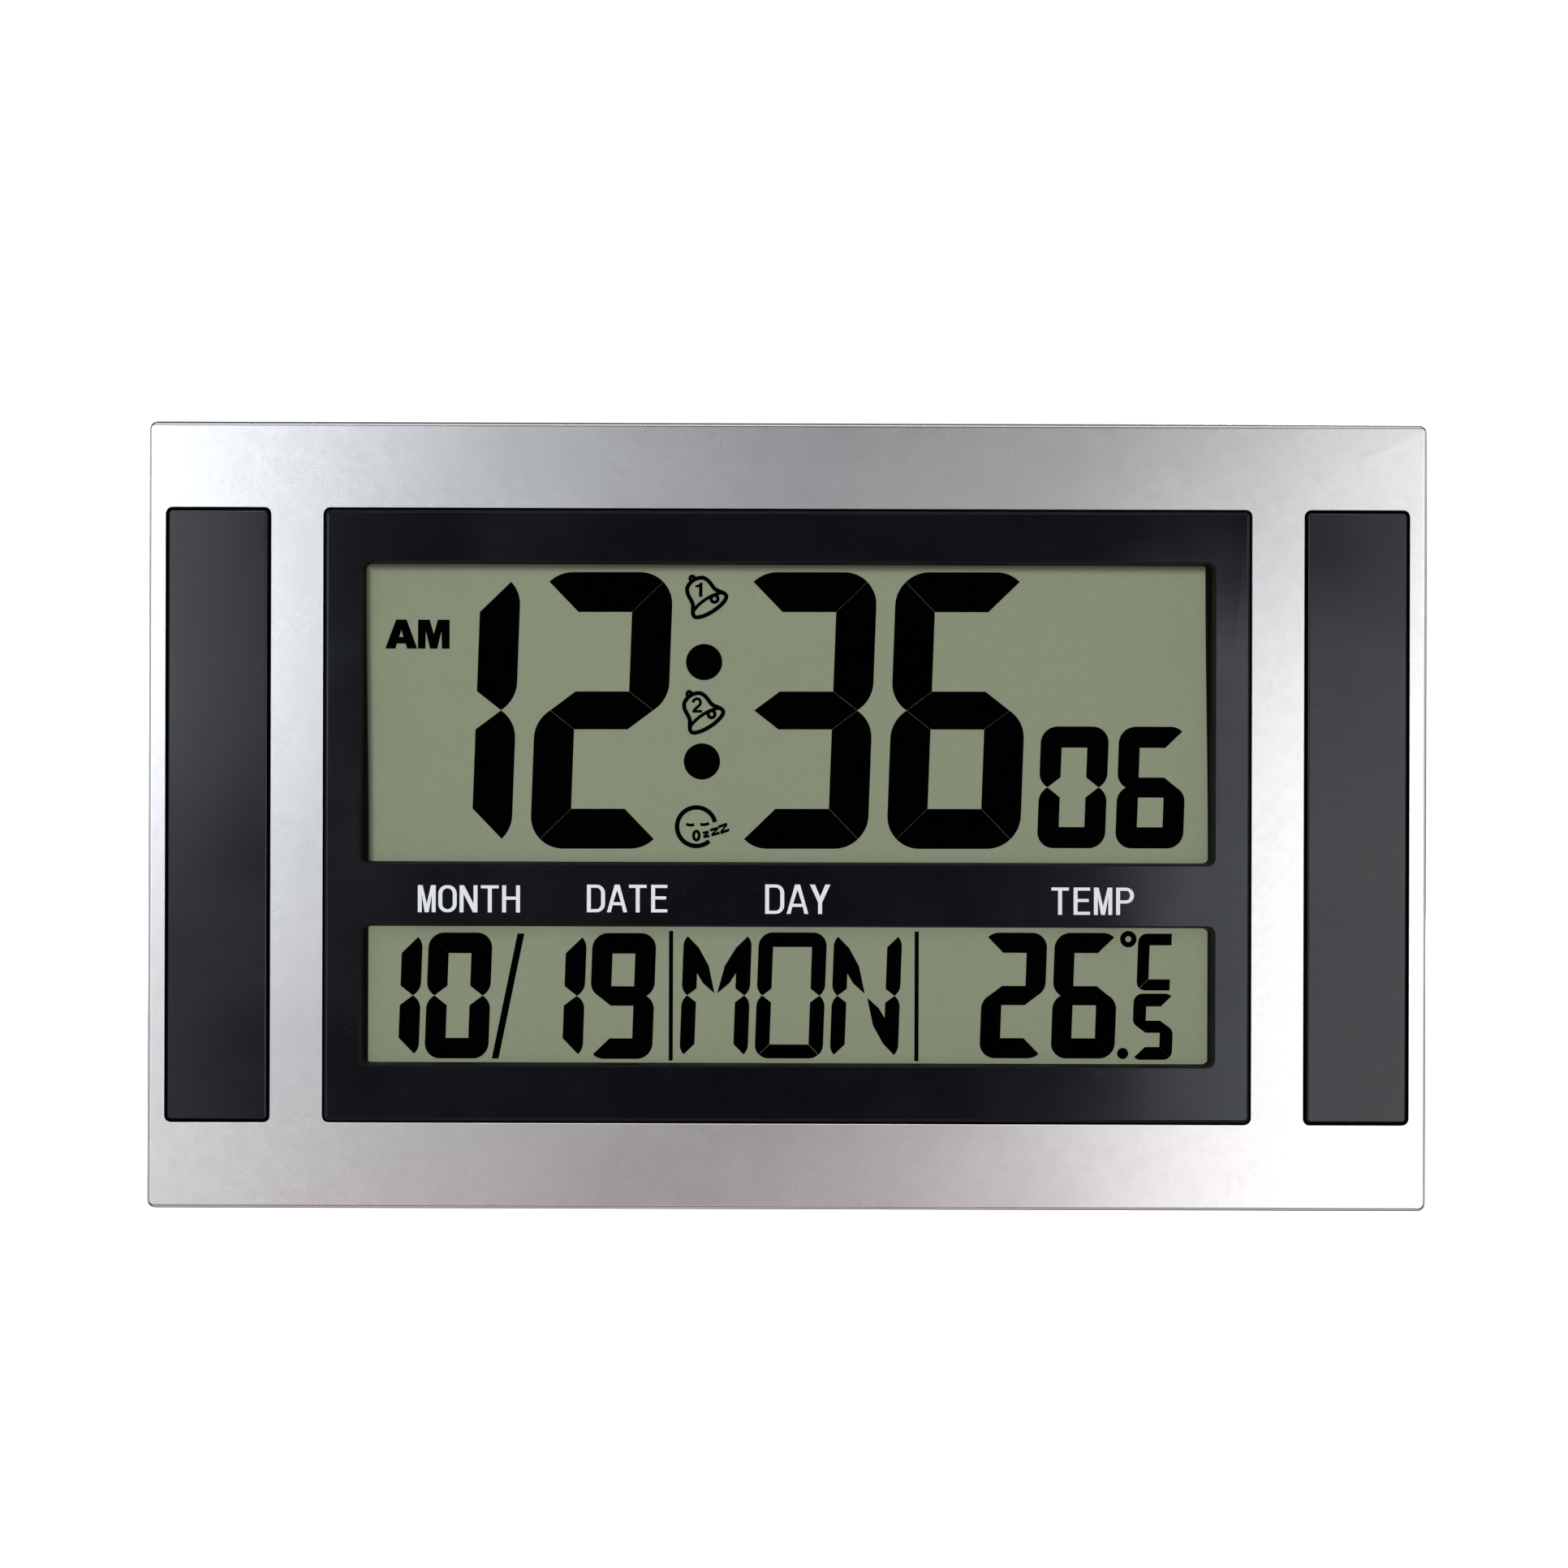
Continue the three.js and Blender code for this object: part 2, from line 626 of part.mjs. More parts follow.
/** Silver front: a shell with the display opening, two inlay pockets and bosses behind. */
function frontBezel() {
  let solid = loftRect(caseOutline, [
    ...roundedEdge(silverFace, FRONT_ROUND, 1),
    { depth: BEZEL_DEPTH },
  ]);
  const inside = { depth: silverBack, inset: BEZEL_WALL };
  solid = solid.subtract(loftRect(caseOutline, [inside, { ...inside, depth: BEZEL_DEPTH + CUT_OVER }]));
  const pocketFloor = INLAY_THICK + STACK_GAP;
  const pad = [silverFace + ROOT, pocketFloor + INLAY_POCKET_FLOOR].map((depth) => ({
    depth,
    inset: -INLAY_POCKET_WALL,
  }));
  for (const side of [-1, 1]) {
    solid = solid.add(loftRect(inlayOutline(side), pad));
  }
  for (const { x, z } of coverScrews) {
    solid = solid.add(rod(COVER_BOSS / 2, silverBack - ROOT, bossTop, x, z));
    solid = solid.subtract(pilot(COVER_SCREW, coverScrewSeat, x, z));
  }
  for (const { x, z } of earScrews) {
    solid = solid.add(rod(EAR_BOSS / 2, silverBack - ROOT, earBossTop, x, z));
    solid = solid.subtract(pilot(SMALL_SCREW, earSeat, x, z));
  }
  for (const side of [-1, 1]) {
    solid = solid.subtract(slab(inlayOutline(side), silverFace - CUT_OVER, pocketFloor));
  }
  return solid.subtract(slab(frameOutline, silverFace - CUT_OVER, silverBack + CUT_OVER));
}

/** Dark strip with a rounded front edge, bedded in its pocket. */
function inlay(side) {
  const sections = [...roundedEdge(0, INSERT_ROUND, 1), { depth: INLAY_THICK, inset: 0 }];
  return loftRect(
    inlayOutline(side),
    sections.map(({ depth, inset }) => ({ depth, inset: inset + INSERT_SEAM })),
  );
}

/** One window of the display frame, drafted towards the panel and grown by a skirt where asked. */
function windowCut(bottom, top, skirt, front, back) {
  const outline = {
    width: windowWidth,
    height: top - bottom,
    corner: WINDOW_CORNER + skirt,
    z: (bottom + top) / 2,
  };
  const draftAt = (depth) => ({
    depth,
    inset: (WINDOW_SIDE_DRAFT * depth) / WINDOW_RECESS - skirt,
    insetZ: (WINDOW_EDGE_DRAFT * depth) / WINDOW_RECESS - skirt,
    corner: WINDOW_CORNER + skirt,
  });
  return loftRect(outline, [draftAt(front), draftAt(back)]);
}

/** Black frame: a hollow moulding with a flange behind the bezel and a skirt round each window. */
function displayFrame() {
  const front = roundedEdge(0, INSERT_ROUND, 1).map(({ depth, inset }) => ({
    depth,
    inset: inset + INSERT_SEAM,
  }));
  let solid = loftRect(frameOutline, [...front, { depth: WINDOW_RECESS, inset: INSERT_SEAM }]);
  const flange = { depth: flangeFront, inset: -FRAME_FLANGE };
  solid = solid.add(loftRect(frameOutline, [flange, { ...flange, depth: WINDOW_RECESS }]));
  const windows = [
    [lowerWindowBottom, lowerWindowTop],
    [upperWindowBottom, upperWindowTop],
  ];
  const wall = { depth: FRAME_PLATE, inset: INSERT_SEAM + FRAME_WALL };
  const past = WINDOW_RECESS + CUT_OVER;
  let hollow = loftRect(frameOutline, [wall, { ...wall, depth: past }]);
  for (const [bottom, top] of windows) {
    hollow = hollow.subtract(windowCut(bottom, top, WINDOW_SKIRT, 0, past + CUT_OVER));
  }
  solid = solid.subtract(hollow);
  for (const [bottom, top] of windows) {
    solid = solid.subtract(windowCut(bottom, top, 0, -CUT_OVER, past));
  }
  return solid;
}

/** One flat sheet of the panel. */
function sheet(width, bottom, top, front, thickness) {
  const outline = { width, height: top - bottom, corner: PANEL_CORNER, z: (bottom + top) / 2 };
  return slab(outline, front, front + thickness);
}

/** Tray that clamps the panel to the frame, with screw ears, board standoffs and a slot for the strip. */
function lcdHolder() {
  const tray = { width: holderWidth, height: 2 * (holderTop - midZ), corner: INSERT_CORNER, z: midZ };
  let solid = slab(tray, holderFront, holderBack);
  for (const { x, z } of earScrews) {
    const inward = z < midZ ? 1 : -1;
    const outerEnd = z - (inward * EAR_WIDTH) / 2;
    const innerEnd = midZ - inward * (holderTop - midZ - ROOT);
    const ear = {
      width: EAR_WIDTH,
      height: Math.abs(innerEnd - outerEnd),
      corner: EAR_WIDTH / 2,
      x,
      z: (outerEnd + innerEnd) / 2,
    };
    solid = solid.add(slab(ear, holderPlateFront, holderBack));
    const link = [Math.min(z, innerEnd), Math.max(z, innerEnd)];
    const across = [x - EAR_WIDTH / 2, x + EAR_WIDTH / 2];
    solid = solid.add(block(across, [holderPlateFront, holderBack], link));
    solid = solid.subtract(pilot(SMALL_SCREW, earSeat, x, z));
  }
  const panel = {
    width: glassWidth + 2 * FIT_GAP,
    height: frontGlassTop - glassBottom + 2 * FIT_GAP,
    corner: PANEL_CORNER,
    z: (frontGlassTop + glassBottom) / 2,
  };
  solid = solid.subtract(slab(panel, holderFront - CUT_OVER, holderPlateFront));
  for (const { x, z } of boardScrews) {
    solid = solid.add(rod(STANDOFF_SIZE / 2, holderBack - ROOT, standoffTop, x, z));
    solid = solid.subtract(pilot(SMALL_SCREW, boardSeat, x, z));
  }
  const slot = {
    width: zebraLength + 2 * FIT_GAP,
    height: ZEBRA_WIDTH + 2 * FIT_GAP,
    corner: FIT_GAP,
    z: zebraZ,
  };
  return solid.subtract(slab(slot, holderPlateFront - CUT_OVER, holderBack + CUT_OVER));
}

/** Rubber strip from the glass's contact ledge to the board. */
function zebraStrip() {
  const strip = { width: zebraLength, height: ZEBRA_WIDTH, corner: FIT_GAP, z: zebraZ };
  return slab(strip, frontGlassBack + STACK_GAP, boardFront - STACK_GAP);
}

/** Circuit board with its four screw holes. */
function mainBoard() {
  const outline = {
    width: BOARD_WIDTH,
    height: BOARD_HEIGHT,
    corner: BOARD_CORNER,
    z: (boardTop + boardBottom) / 2,
  };
  let solid = slab(outline, boardFront, boardBack);
  for (const { x, z } of boardScrews) {
    solid = solid.subtract(pilot(SMALL_SCREW, boardSeat, x, z));
  }
  return solid;
}

/** Domed blob of epoxy over the bonded chip. */
function chipBlob() {
  const foot = boardBack + STACK_GAP;
  const profile = [
    [0, foot],
    [CHIP_RADIUS, foot],
    [CHIP_RADIUS * CHIP_SHOULDER.out, foot + CHIP_HEIGHT * CHIP_SHOULDER.up],
    [CHIP_RADIUS * CHIP_CROWN.out, foot + CHIP_HEIGHT * CHIP_CROWN.up],
    [0, foot + CHIP_HEIGHT],
  ];
  return turned(profile, CHIP_X, boardTop - CHIP_ROW);
}

/** Bead on two leads that lie on the board and hang below it, in the draught of the vents. */
function thermistor() {
  const depth = boardBack + STACK_GAP + LEAD_RADIUS;
  const beadZ = boardBottom - LEAD_DROP;
  const bead = new THREE.SphereGeometry(BEAD_RADIUS, BEAD_SIDES, BEAD_ROWS);
  bead.translate(THERMISTOR_X, toY(depth), beadZ);
  let solid = solidOf(bead);
  for (const side of [-1, 1]) {
    const x = THERMISTOR_X + (side * LEAD_PITCH) / 2;
    const across = [x - LEAD_RADIUS, x + LEAD_RADIUS];
    const deep = [depth - LEAD_RADIUS, depth + LEAD_RADIUS];
    solid = solid.add(block(across, deep, [beadZ, boardBottom + LEAD_ON_BOARD]));
  }
  return solid;
}

const buttonRow = BUTTON_NAMES.map((name, i) => ({
  name,
  x: (i - (BUTTON_NAMES.length - 1) / 2) * BUTTON_PITCH,
}));
/** Switch housing with the bore that its plunger sinks into. */
function switchBody(x) {
  const outline = { width: SWITCH_SIZE, height: SWITCH_SIZE, corner: SWITCH_CORNER, x, z: buttonZ };
  const boreFoot = plungerFoot - BUTTON_TRAVEL - FIT_GAP;
  const bore = rod(PLUNGER_RADIUS + FIT_GAP, boreFoot, switchBack + CUT_OVER, x, buttonZ);
  return slab(outline, switchFront, switchBack).subtract(bore);
}

/** Button: rounded cap, retaining collar and the long stem that meets the plunger. */
function button(x) {
  const cap = { width: BUTTON_LENGTH, height: BUTTON_WIDTH, corner: BUTTON_WIDTH / 2, x, z: buttonZ };
  const top = roundedEdge(caseDepth - BUTTON_BELOW, BUTTON_ROUND, -1);
  const collar = [
    { depth: collarFront, inset: -BUTTON_COLLAR },
    { depth: collarBack, inset: -BUTTON_COLLAR },
  ];
  return loftRect(cap, [{ depth: collarFront }, ...top])
    .add(loftRect(cap, collar))
    .add(rod(STEM_RADIUS, plungerTop + STACK_GAP, collarFront + ROOT, x, buttonZ));
}

/** Outline of the stand leg, wider at its hinge, grown all round and more at its top where asked. */
function standOutline(grow, topGrow = grow) {
  const top = standAxisZ + STAND_HEEL + topGrow;
  const foot = STAND_FOOT_Z - grow;
  const halfTop = STAND_TOP_WIDTH / 2 + grow;
  const halfFoot = STAND_FOOT_WIDTH / 2 + grow;
  const radius = Math.max(STAND_CORNER + grow, SMALLEST_CORNER);
  const flare = ((halfTop - halfFoot) / (top - foot)) * radius;
  const shape = new THREE.Shape();
  shape.moveTo(radius - halfFoot, foot);
  shape.lineTo(halfFoot - radius, foot);
  shape.quadraticCurveTo(halfFoot, foot, halfFoot + flare, foot + radius);
  shape.lineTo(halfTop, top);
  shape.lineTo(-halfTop, top);
  shape.lineTo(-halfFoot - flare, foot + radius);
  shape.quadraticCurveTo(-halfFoot, foot, radius - halfFoot, foot);
  return ringOf(shape);
}

/** Half the leg's width at a height, by its straight flank. */
function standHalfWidth(z) {
  const share = (z - STAND_FOOT_Z) / (STAND_LENGTH + STAND_HEEL);
  return STAND_FOOT_WIDTH / 2 + (share * (STAND_TOP_WIDTH - STAND_FOOT_WIDTH)) / 2;
}

/** Stand leg: a plate with a rim and ribs on its inner side, and a trunnion at each end of its hinge. */
function standLeg() {
  const inner = caseDepth - STAND_THICK;
  let solid = loft([
    { depth: inner, points: standOutline(0) },
    { depth: caseDepth - STAND_ROUND, points: standOutline(0) },
    { depth: caseDepth, points: standOutline(-STAND_ROUND) },
  ]);
  let hollow = prism(standOutline(-STAND_RIM), inner - CUT_OVER, caseDepth - STAND_PLATE);
  const upright = [-STAND_RIB / 2, STAND_RIB / 2];
  hollow = hollow.subtract(block(upright, [inner, caseDepth], [STAND_FOOT_Z, standAxisZ + STAND_HEEL]));
  for (const z of [STAND_FOOT_Z + STAND_LENGTH / 3, STAND_FOOT_Z + (2 * STAND_LENGTH) / 3]) {
    const across = [-standHalfWidth(z), standHalfWidth(z)];
    hollow = hollow.subtract(block(across, [inner, caseDepth], [z - STAND_RIB / 2, z + STAND_RIB / 2]));
  }
  solid = solid.subtract(hollow);
  const flank = standHalfWidth(standAxisZ);
  for (const side of [-1, 1]) {
    const ends = [side * (flank - STAND_RIM), side * (flank + WELL_GAP + TRUNNION_REACH)];
    const trunnion = [Math.min(...ends), Math.max(...ends)];
    solid = solid.add(crossRod(TRUNNION_RADIUS, ...trunnion, standAxis, standAxisZ));
  }
  return solid;
}

const bayOutline = { width: bayLength, height: bayWidth, corner: BAY_CORNER, x: BAY_X, z: BAY_Z };
const doorOutline = { width: doorWidth, height: doorHeight, corner: DOOR_CORNER, x: BAY_X, z: BAY_Z };

/** Battery door with two hooks at its top edge, a latch at its bottom edge and a scooped thumb grip. */
function batteryDoor() {
  let solid = loftRect(doorOutline, [
    { depth: doorInside },
    ...roundedEdge(caseDepth, DOOR_ROUND, -1),
  ]);
  for (const x of hookPlaces) {
    const across = [x - HOOK_WIDTH / 2, x + HOOK_WIDTH / 2];
    solid = solid.add(block(across, [doorInside, hookBack], [doorTop - ROOT, doorTop + HOOK_REACH]));
  }
  const latch = [BAY_X - LATCH_WIDTH / 2, BAY_X + LATCH_WIDTH / 2];
  const latchDeep = [latchFront, latchFront + LATCH_THICK];
  solid = solid.add(block(latch, latchDeep, [doorBottom - LATCH_REACH, doorBottom + ROOT]));
  const gripAxis = caseDepth - GRIP_DEPTH + GRIP_RADIUS;
  const grip = [BAY_X - GRIP_LENGTH / 2, BAY_X + GRIP_LENGTH / 2];
  const gripZ = doorBottom + GRIP_FROM_EDGE;
  return solid.subtract(crossRod(GRIP_RADIUS, ...grip, gripAxis, gripZ, WIDE_SIDES));
}

/** Adds the battery bay to the cover: a walled box, the door's ledge, hook slots and tab slots. */
function addBay(cover) {
  const ledge = { depth: doorSeat - DOOR_LEDGE_WALL, inset: -FIT_GAP - DOOR_PAD_WALL };
  let solid = cover.add(loftRect(doorOutline, [ledge, { ...ledge, depth: coverInside + ROOT }]));
  const wall = { depth: bayFloorFront, inset: -BAY_WALL };
  solid = solid.add(loftRect(bayOutline, [wall, { ...wall, depth: doorSeat - ROOT }]));
  const recess = { depth: doorSeat, inset: -FIT_GAP };
  solid = solid.subtract(loftRect(doorOutline, [recess, { ...recess, depth: caseDepth + CUT_OVER }]));
  solid = solid.subtract(slab(bayOutline, bayFloor, caseDepth));
  const cradle = [
    [BAY_X - CRADLE_LENGTH / 2, BAY_X + CRADLE_LENGTH / 2],
    [bayFloor - ROOT, bayFloor + CRADLE_HEIGHT],
    [BAY_Z - CRADLE_WIDTH / 2, BAY_Z + CRADLE_WIDTH / 2],
  ];
  solid = solid.add(block(...cradle));
  for (const x of hookPlaces) {
    const across = [x - HOOK_WIDTH / 2 - FIT_GAP, x + HOOK_WIDTH / 2 + FIT_GAP];
    const deep = [doorSeat - DOOR_LEDGE_WALL - CUT_OVER, hookBack + FIT_GAP];
    solid = solid.subtract(block(across, deep, [doorTop - DOOR_LEDGE, doorTop + HOOK_REACH + FIT_GAP]));
  }
  const latch = [
    [BAY_X - LATCH_WIDTH / 2 - FIT_GAP, BAY_X + LATCH_WIDTH / 2 + FIT_GAP],
    [latchFront - FIT_GAP, latchFront + LATCH_THICK + FIT_GAP],
    [doorBottom - LATCH_REACH - FIT_GAP, doorBottom],
  ];
  solid = solid.subtract(block(...latch));
  for (const z of [lowerCellZ, upperCellZ]) {
    const slot = [
      [bayRight - ROOT, bayRight + BAY_WALL + CUT_OVER],
      [tabDepth - CONTACT_THICK / 2 - FIT_GAP, tabDepth + CONTACT_THICK / 2 + FIT_GAP],
      [z - TAB_WIDTH / 2 - FIT_GAP, z + TAB_WIDTH / 2 + FIT_GAP],
    ];
    solid = solid.subtract(block(...slot));
  }
  return solid;
}

/** Adds the stand's well: walls, floor at the leg's stop, bearing holes and the finger notch. */
function addStandWell(cover) {
  const topGrow = heelRadius - STAND_HEEL + FIT_GAP;
  const notchWidth = NOTCH_WIDTH + STAND_FOOT_WIDTH / 2; // runs on under the leg
  const notch = {
    width: notchWidth,
    height: NOTCH_HEIGHT,
    corner: NOTCH_CORNER,
    x: notchWidth / 2 - standHalfWidth(NOTCH_Z) - WELL_GAP - NOTCH_WIDTH,
    z: NOTCH_Z,
  };
  const notchFloor = caseDepth - NOTCH_DEPTH;
  const notchWall = { depth: notchFloor - WELL_WALL, inset: -WELL_WALL };
  const bearing = standHalfWidth(standAxisZ) + WELL_GAP + WELL_WALL + CUT_OVER;
  const outerWall = standOutline(WELL_GAP + WELL_WALL, topGrow + WELL_WALL);
  return cover
    .add(prism(outerWall, wellFloor - WELL_WALL, coverInside + ROOT))
    .add(loftRect(notch, [notchWall, { ...notchWall, depth: coverInside + ROOT }]))
    .subtract(prism(standOutline(WELL_GAP, topGrow), wellFloor, caseDepth + CUT_OVER))
    .subtract(slab(notch, notchFloor, caseDepth + CUT_OVER))
    .subtract(crossRod(TRUNNION_RADIUS + FIT_GAP, -bearing, bearing, standAxis, standAxisZ));
}

/** Adds one keyhole: a round entry, a slot above it and a closed pocket for the screw's head. */
function addKeyhole(cover, x) {
  const entryZ = CASE_HEIGHT - KEYHOLE_FROM_TOP;
  const pocket = {
    width: KEYHOLE_POCKET,
    height: KEYHOLE_POCKET + KEYHOLE_RISE,
    corner: KEYHOLE_POCKET / 2,
    x,
    z: entryZ + KEYHOLE_RISE / 2,
  };
  const room = coverInside - KEYHOLE_ROOM;
  const wall = { depth: room - KEYHOLE_WALL, inset: -KEYHOLE_WALL };
  const slot = {
    width: KEYHOLE_SLOT,
    height: KEYHOLE_RISE + KEYHOLE_SLOT,
    corner: KEYHOLE_SLOT / 2,
    x,
    z: entryZ + KEYHOLE_RISE / 2,
  };
  return cover
    .add(loftRect(pocket, [wall, { ...wall, depth: coverInside + ROOT }]))
    .subtract(slab(pocket, room, coverInside))
    .subtract(rod(KEYHOLE_ENTRY / 2, coverInside - CUT_OVER, caseDepth + CUT_OVER, x, entryZ))
    .subtract(slab(slot, coverInside - CUT_OVER, caseDepth + CUT_OVER));
}

/** Adds the sunk key field with a hole for each button. */
function addKeyField(cover) {
  const field = {
    width: (buttonRow.length - 1) * BUTTON_PITCH + BUTTON_LENGTH + 2 * KEY_MARGIN,
    height: BUTTON_WIDTH + 2 * KEY_MARGIN,
    corner: BUTTON_WIDTH / 2 + KEY_MARGIN,
    z: buttonZ,
  };
  const pad = { depth: keyPadFront, inset: -KEY_PAD_WALL };
  let solid = cover
    .add(loftRect(field, [pad, { ...pad, depth: coverInside + ROOT }]))
    .subtract(slab(field, keyFloor, caseDepth + CUT_OVER));
  for (const { x } of buttonRow) {
    const hole = {
      width: BUTTON_LENGTH + 2 * FIT_GAP,
      height: BUTTON_WIDTH + 2 * FIT_GAP,
      corner: BUTTON_WIDTH / 2 + FIT_GAP,
      x,
      z: buttonZ,
    };
    solid = solid.subtract(slab(hole, keyPadFront - CUT_OVER, keyFloor + CUT_OVER));
  }
  return solid;
}

/** Adds the buzzer's ring and shelf, its sound holes, and the vents beside the thermistor. */
function addSoundAndAir(cover) {
  const ringFront = coverInside - BUZZER_RING_HEIGHT;
  const seat = BUZZER_RADIUS + FIT_GAP;
  const centre = [BUZZER_X, BUZZER_Z, WIDE_SIDES];
  let solid = cover
    .add(rod(seat + BUZZER_RING_WALL, ringFront, coverInside + ROOT, ...centre))
    .subtract(rod(seat, ringFront - CUT_OVER, buzzerShelf, ...centre))
    .subtract(rod(BUZZER_RADIUS - BUZZER_SHELF, buzzerShelf - CUT_OVER, coverInside, ...centre));
  const holes = [[BUZZER_X, BUZZER_Z]];
  for (let i = 0; i < SOUND_HOLES; i += 1) {
    const angle = (i / SOUND_HOLES) * 2 * Math.PI;
    const x = BUZZER_X + SOUND_CIRCLE * Math.cos(angle);
    holes.push([x, BUZZER_Z + SOUND_CIRCLE * Math.sin(angle)]);
  }
  for (const [x, z] of holes) {
    solid = solid.subtract(rod(SOUND_HOLE, coverInside - CUT_OVER, caseDepth + CUT_OVER, x, z, SCREW_SIDES));
  }
  for (let i = 0; i < VENT_COUNT; i += 1) {
    const vent = {
      width: VENT_LENGTH,
      height: VENT_WIDTH,
      corner: VENT_WIDTH / 2,
      x: THERMISTOR_X,
      z: boardBottom - LEAD_DROP - i * VENT_PITCH,
    };
    solid = solid.subtract(slab(vent, coverInside - CUT_OVER, caseDepth + CUT_OVER));
  }
  return solid;
}

/** Rear cover: a rounded shell with a lip that enters the bezel, screw wells and all the fittings above. */
function rearCover() {
  const outline = {
    width: CASE_WIDTH - 2 * COVER_STEP,
    height: CASE_HEIGHT - 2 * COVER_STEP,
    corner: CASE_CORNER,
    z: midZ,
  };
  const shell = roundedEdge(caseDepth, COVER_ROUND, -1).map((section) => ({
    ...section,
    corner: CASE_CORNER + ((COVER_BACK_CORNER - CASE_CORNER) * section.inset) / COVER_ROUND,
  }));
  const innerRound = Math.max(COVER_ROUND - COVER_SIDE, SMALLEST_CORNER);
  const hollow = roundedEdge(coverInside, innerRound, -1);
  let solid = loftRect(outline, [{ depth: parting, corner: CASE_CORNER }, ...shell]).subtract(
    loftRect(
      outline,
      [{ depth: parting - CUT_OVER, inset: 0 }, ...hollow].map(({ depth, inset }) => ({
        depth,
        inset: inset + COVER_SIDE,
        corner: CASE_CORNER,
      })),
    ),
  );
  const lipOuter = { depth: parting - LIP_LENGTH, inset: BEZEL_WALL + FIT_GAP, corner: CASE_CORNER };
  const lipInner = { ...lipOuter, depth: lipOuter.depth - CUT_OVER, inset: lipOuter.inset + LIP_WALL };
  const lip = loftRect(caseOutline, [lipOuter, { ...lipOuter, depth: parting + LIP_ROOT }]).subtract(
    loftRect(caseOutline, [lipInner, { ...lipInner, depth: parting + LIP_ROOT + CUT_OVER }]),
  );
  solid = solid.add(lip);
  solid = addBay(solid);
  solid = addStandWell(solid);
  for (const side of [-1, 1]) {
    solid = addKeyhole(solid, side * KEYHOLE_X);
  }
  solid = addKeyField(solid);
  solid = addSoundAndAir(solid);
  for (const { x, z } of coverScrews) {
    solid = solid
      .add(rod(WELL_BORE / 2 + WELL_TUBE_WALL, bossTop + STACK_GAP, coverInside + ROOT, x, z))
      .subtract(rod(WELL_BORE / 2, coverScrewSeat - STACK_GAP, caseDepth + CUT_OVER, x, z))
      .subtract(pilot(COVER_SCREW, coverScrewSeat, x, z));
  }
  return solid;
}

/** AA cell along X with its nub towards one side. */
function cell(z, nubSide) {
  const radius = CELL_DIAMETER / 2;
  const profile = [
    [0, 0],
    [radius - CELL_ROUND, 0],
    [radius, CELL_ROUND],
    [radius, CELL_LENGTH - NUB_LENGTH - CELL_ROUND],
    [radius - CELL_ROUND, CELL_LENGTH - NUB_LENGTH],
    [NUB_RADIUS, CELL_LENGTH - NUB_LENGTH],
    [NUB_RADIUS, CELL_LENGTH],
    [0, CELL_LENGTH],
  ];
  const points = profile.map(([r, along]) => new THREE.Vector2(r, along));
  const geometry = new THREE.LatheGeometry(points, ROUND_SIDES);
  geometry.rotateZ((-nubSide * Math.PI) / 2);
  const contactFace = CONTACT_THICK + FIT_GAP + STACK_GAP;
  const nubX = nubSide > 0 ? bayRight - contactFace : bayLeft + contactFace;
  geometry.translate(nubX - nubSide * CELL_LENGTH, toY(cellAxis), z);
  return solidOf(geometry);
}

/** Conical spring from a contact plate towards a cell: straight ends and a helix that narrows. */
function spring(plateX, direction, z) {
  const free = SPRING_LENGTH - STACK_GAP;
  const place = (along, radius, angle) => [
    plateX + direction * along,
    cellAxis + radius * Math.sin(angle),
    z + radius * Math.cos(angle),
  ];
  const points = [place(-CONTACT_THICK / 2, SPRING_BASE, 0), place(SPRING_WIRE, SPRING_BASE, 0)];
  const first = SPRING_RUN_IN;
  const last = free - SPRING_RUN_IN;
  const count = SPRING_TURNS * SPRING_STEPS;
  for (let i = 1; i < count; i += 1) {
    const share = i / count;
    const radius = SPRING_BASE + share * (SPRING_TIP - SPRING_BASE);
    points.push(place(first + share * (last - first), radius, share * SPRING_TURNS * 2 * Math.PI));
  }
  const end = SPRING_TURNS * 2 * Math.PI;
  points.push(place(free - SPRING_WIRE, SPRING_TIP, end), place(free, SPRING_TIP, end));
  return tube(SPRING_WIRE / 2, points, points.length + SPRING_STEPS / 2, SPRING_SIDES);
}

/** Least gap between stretches of a coiled tube that lie more than half a turn apart along it. */
function leastSelfGap(centres) {
  let least = Infinity;
  for (let i = 0; i < centres.length; i += 1) {
    for (let j = i + SPRING_STEPS / 2; j < centres.length; j += 1) {
      least = Math.min(least, centres[i].distanceTo(centres[j]) - SPRING_WIRE);
    }
  }
  return least;
}

/** Contact plate at one end of the bay, between two heights. */
function contactPlate(end, bottom, top) {
  const inward = Math.sign(BAY_X - end);
  const faces = [end + inward * FIT_GAP, end + inward * (FIT_GAP + CONTACT_THICK)];
  const deep = [cellAxis - CONTACT_SIZE / 2, cellAxis + CONTACT_SIZE / 2];
  return block([Math.min(...faces), Math.max(...faces)], deep, [bottom, top]);
}

/** Solder tab of a contact, out through the bay's end wall. */
function solderTab(z) {
  const across = [rightPlateFace, tabEndX];
  const deep = [tabDepth - CONTACT_THICK / 2, tabDepth + CONTACT_THICK / 2];
  return block(across, deep, [z - TAB_WIDTH / 2, z + TAB_WIDTH / 2]);
}

/** Lead from a contact's tab, up beside the bay and over its corner, to the board's lower edge. */
function batteryLead(tabZ, outX, boardX) {
  const points = [
    [tabEndX - TAB_REACH / 2, wireOnTab, tabZ],
    [outX, wireOnTab, tabZ + LEAD_BEND],
    [outX, wireOnBoard, leadTurnZ],
    [(outX + boardX) / 2, wireOnBoard, (leadTurnZ + boardBottom) / 2],
    [boardX, wireOnBoard, boardBottom],
    [boardX, wireOnBoard, boardBottom + LEAD_LAND],
  ];
  return tube(WIRE_RADIUS, points, BATTERY_LEAD_STEPS, WIRE_SIDES).solid;
}

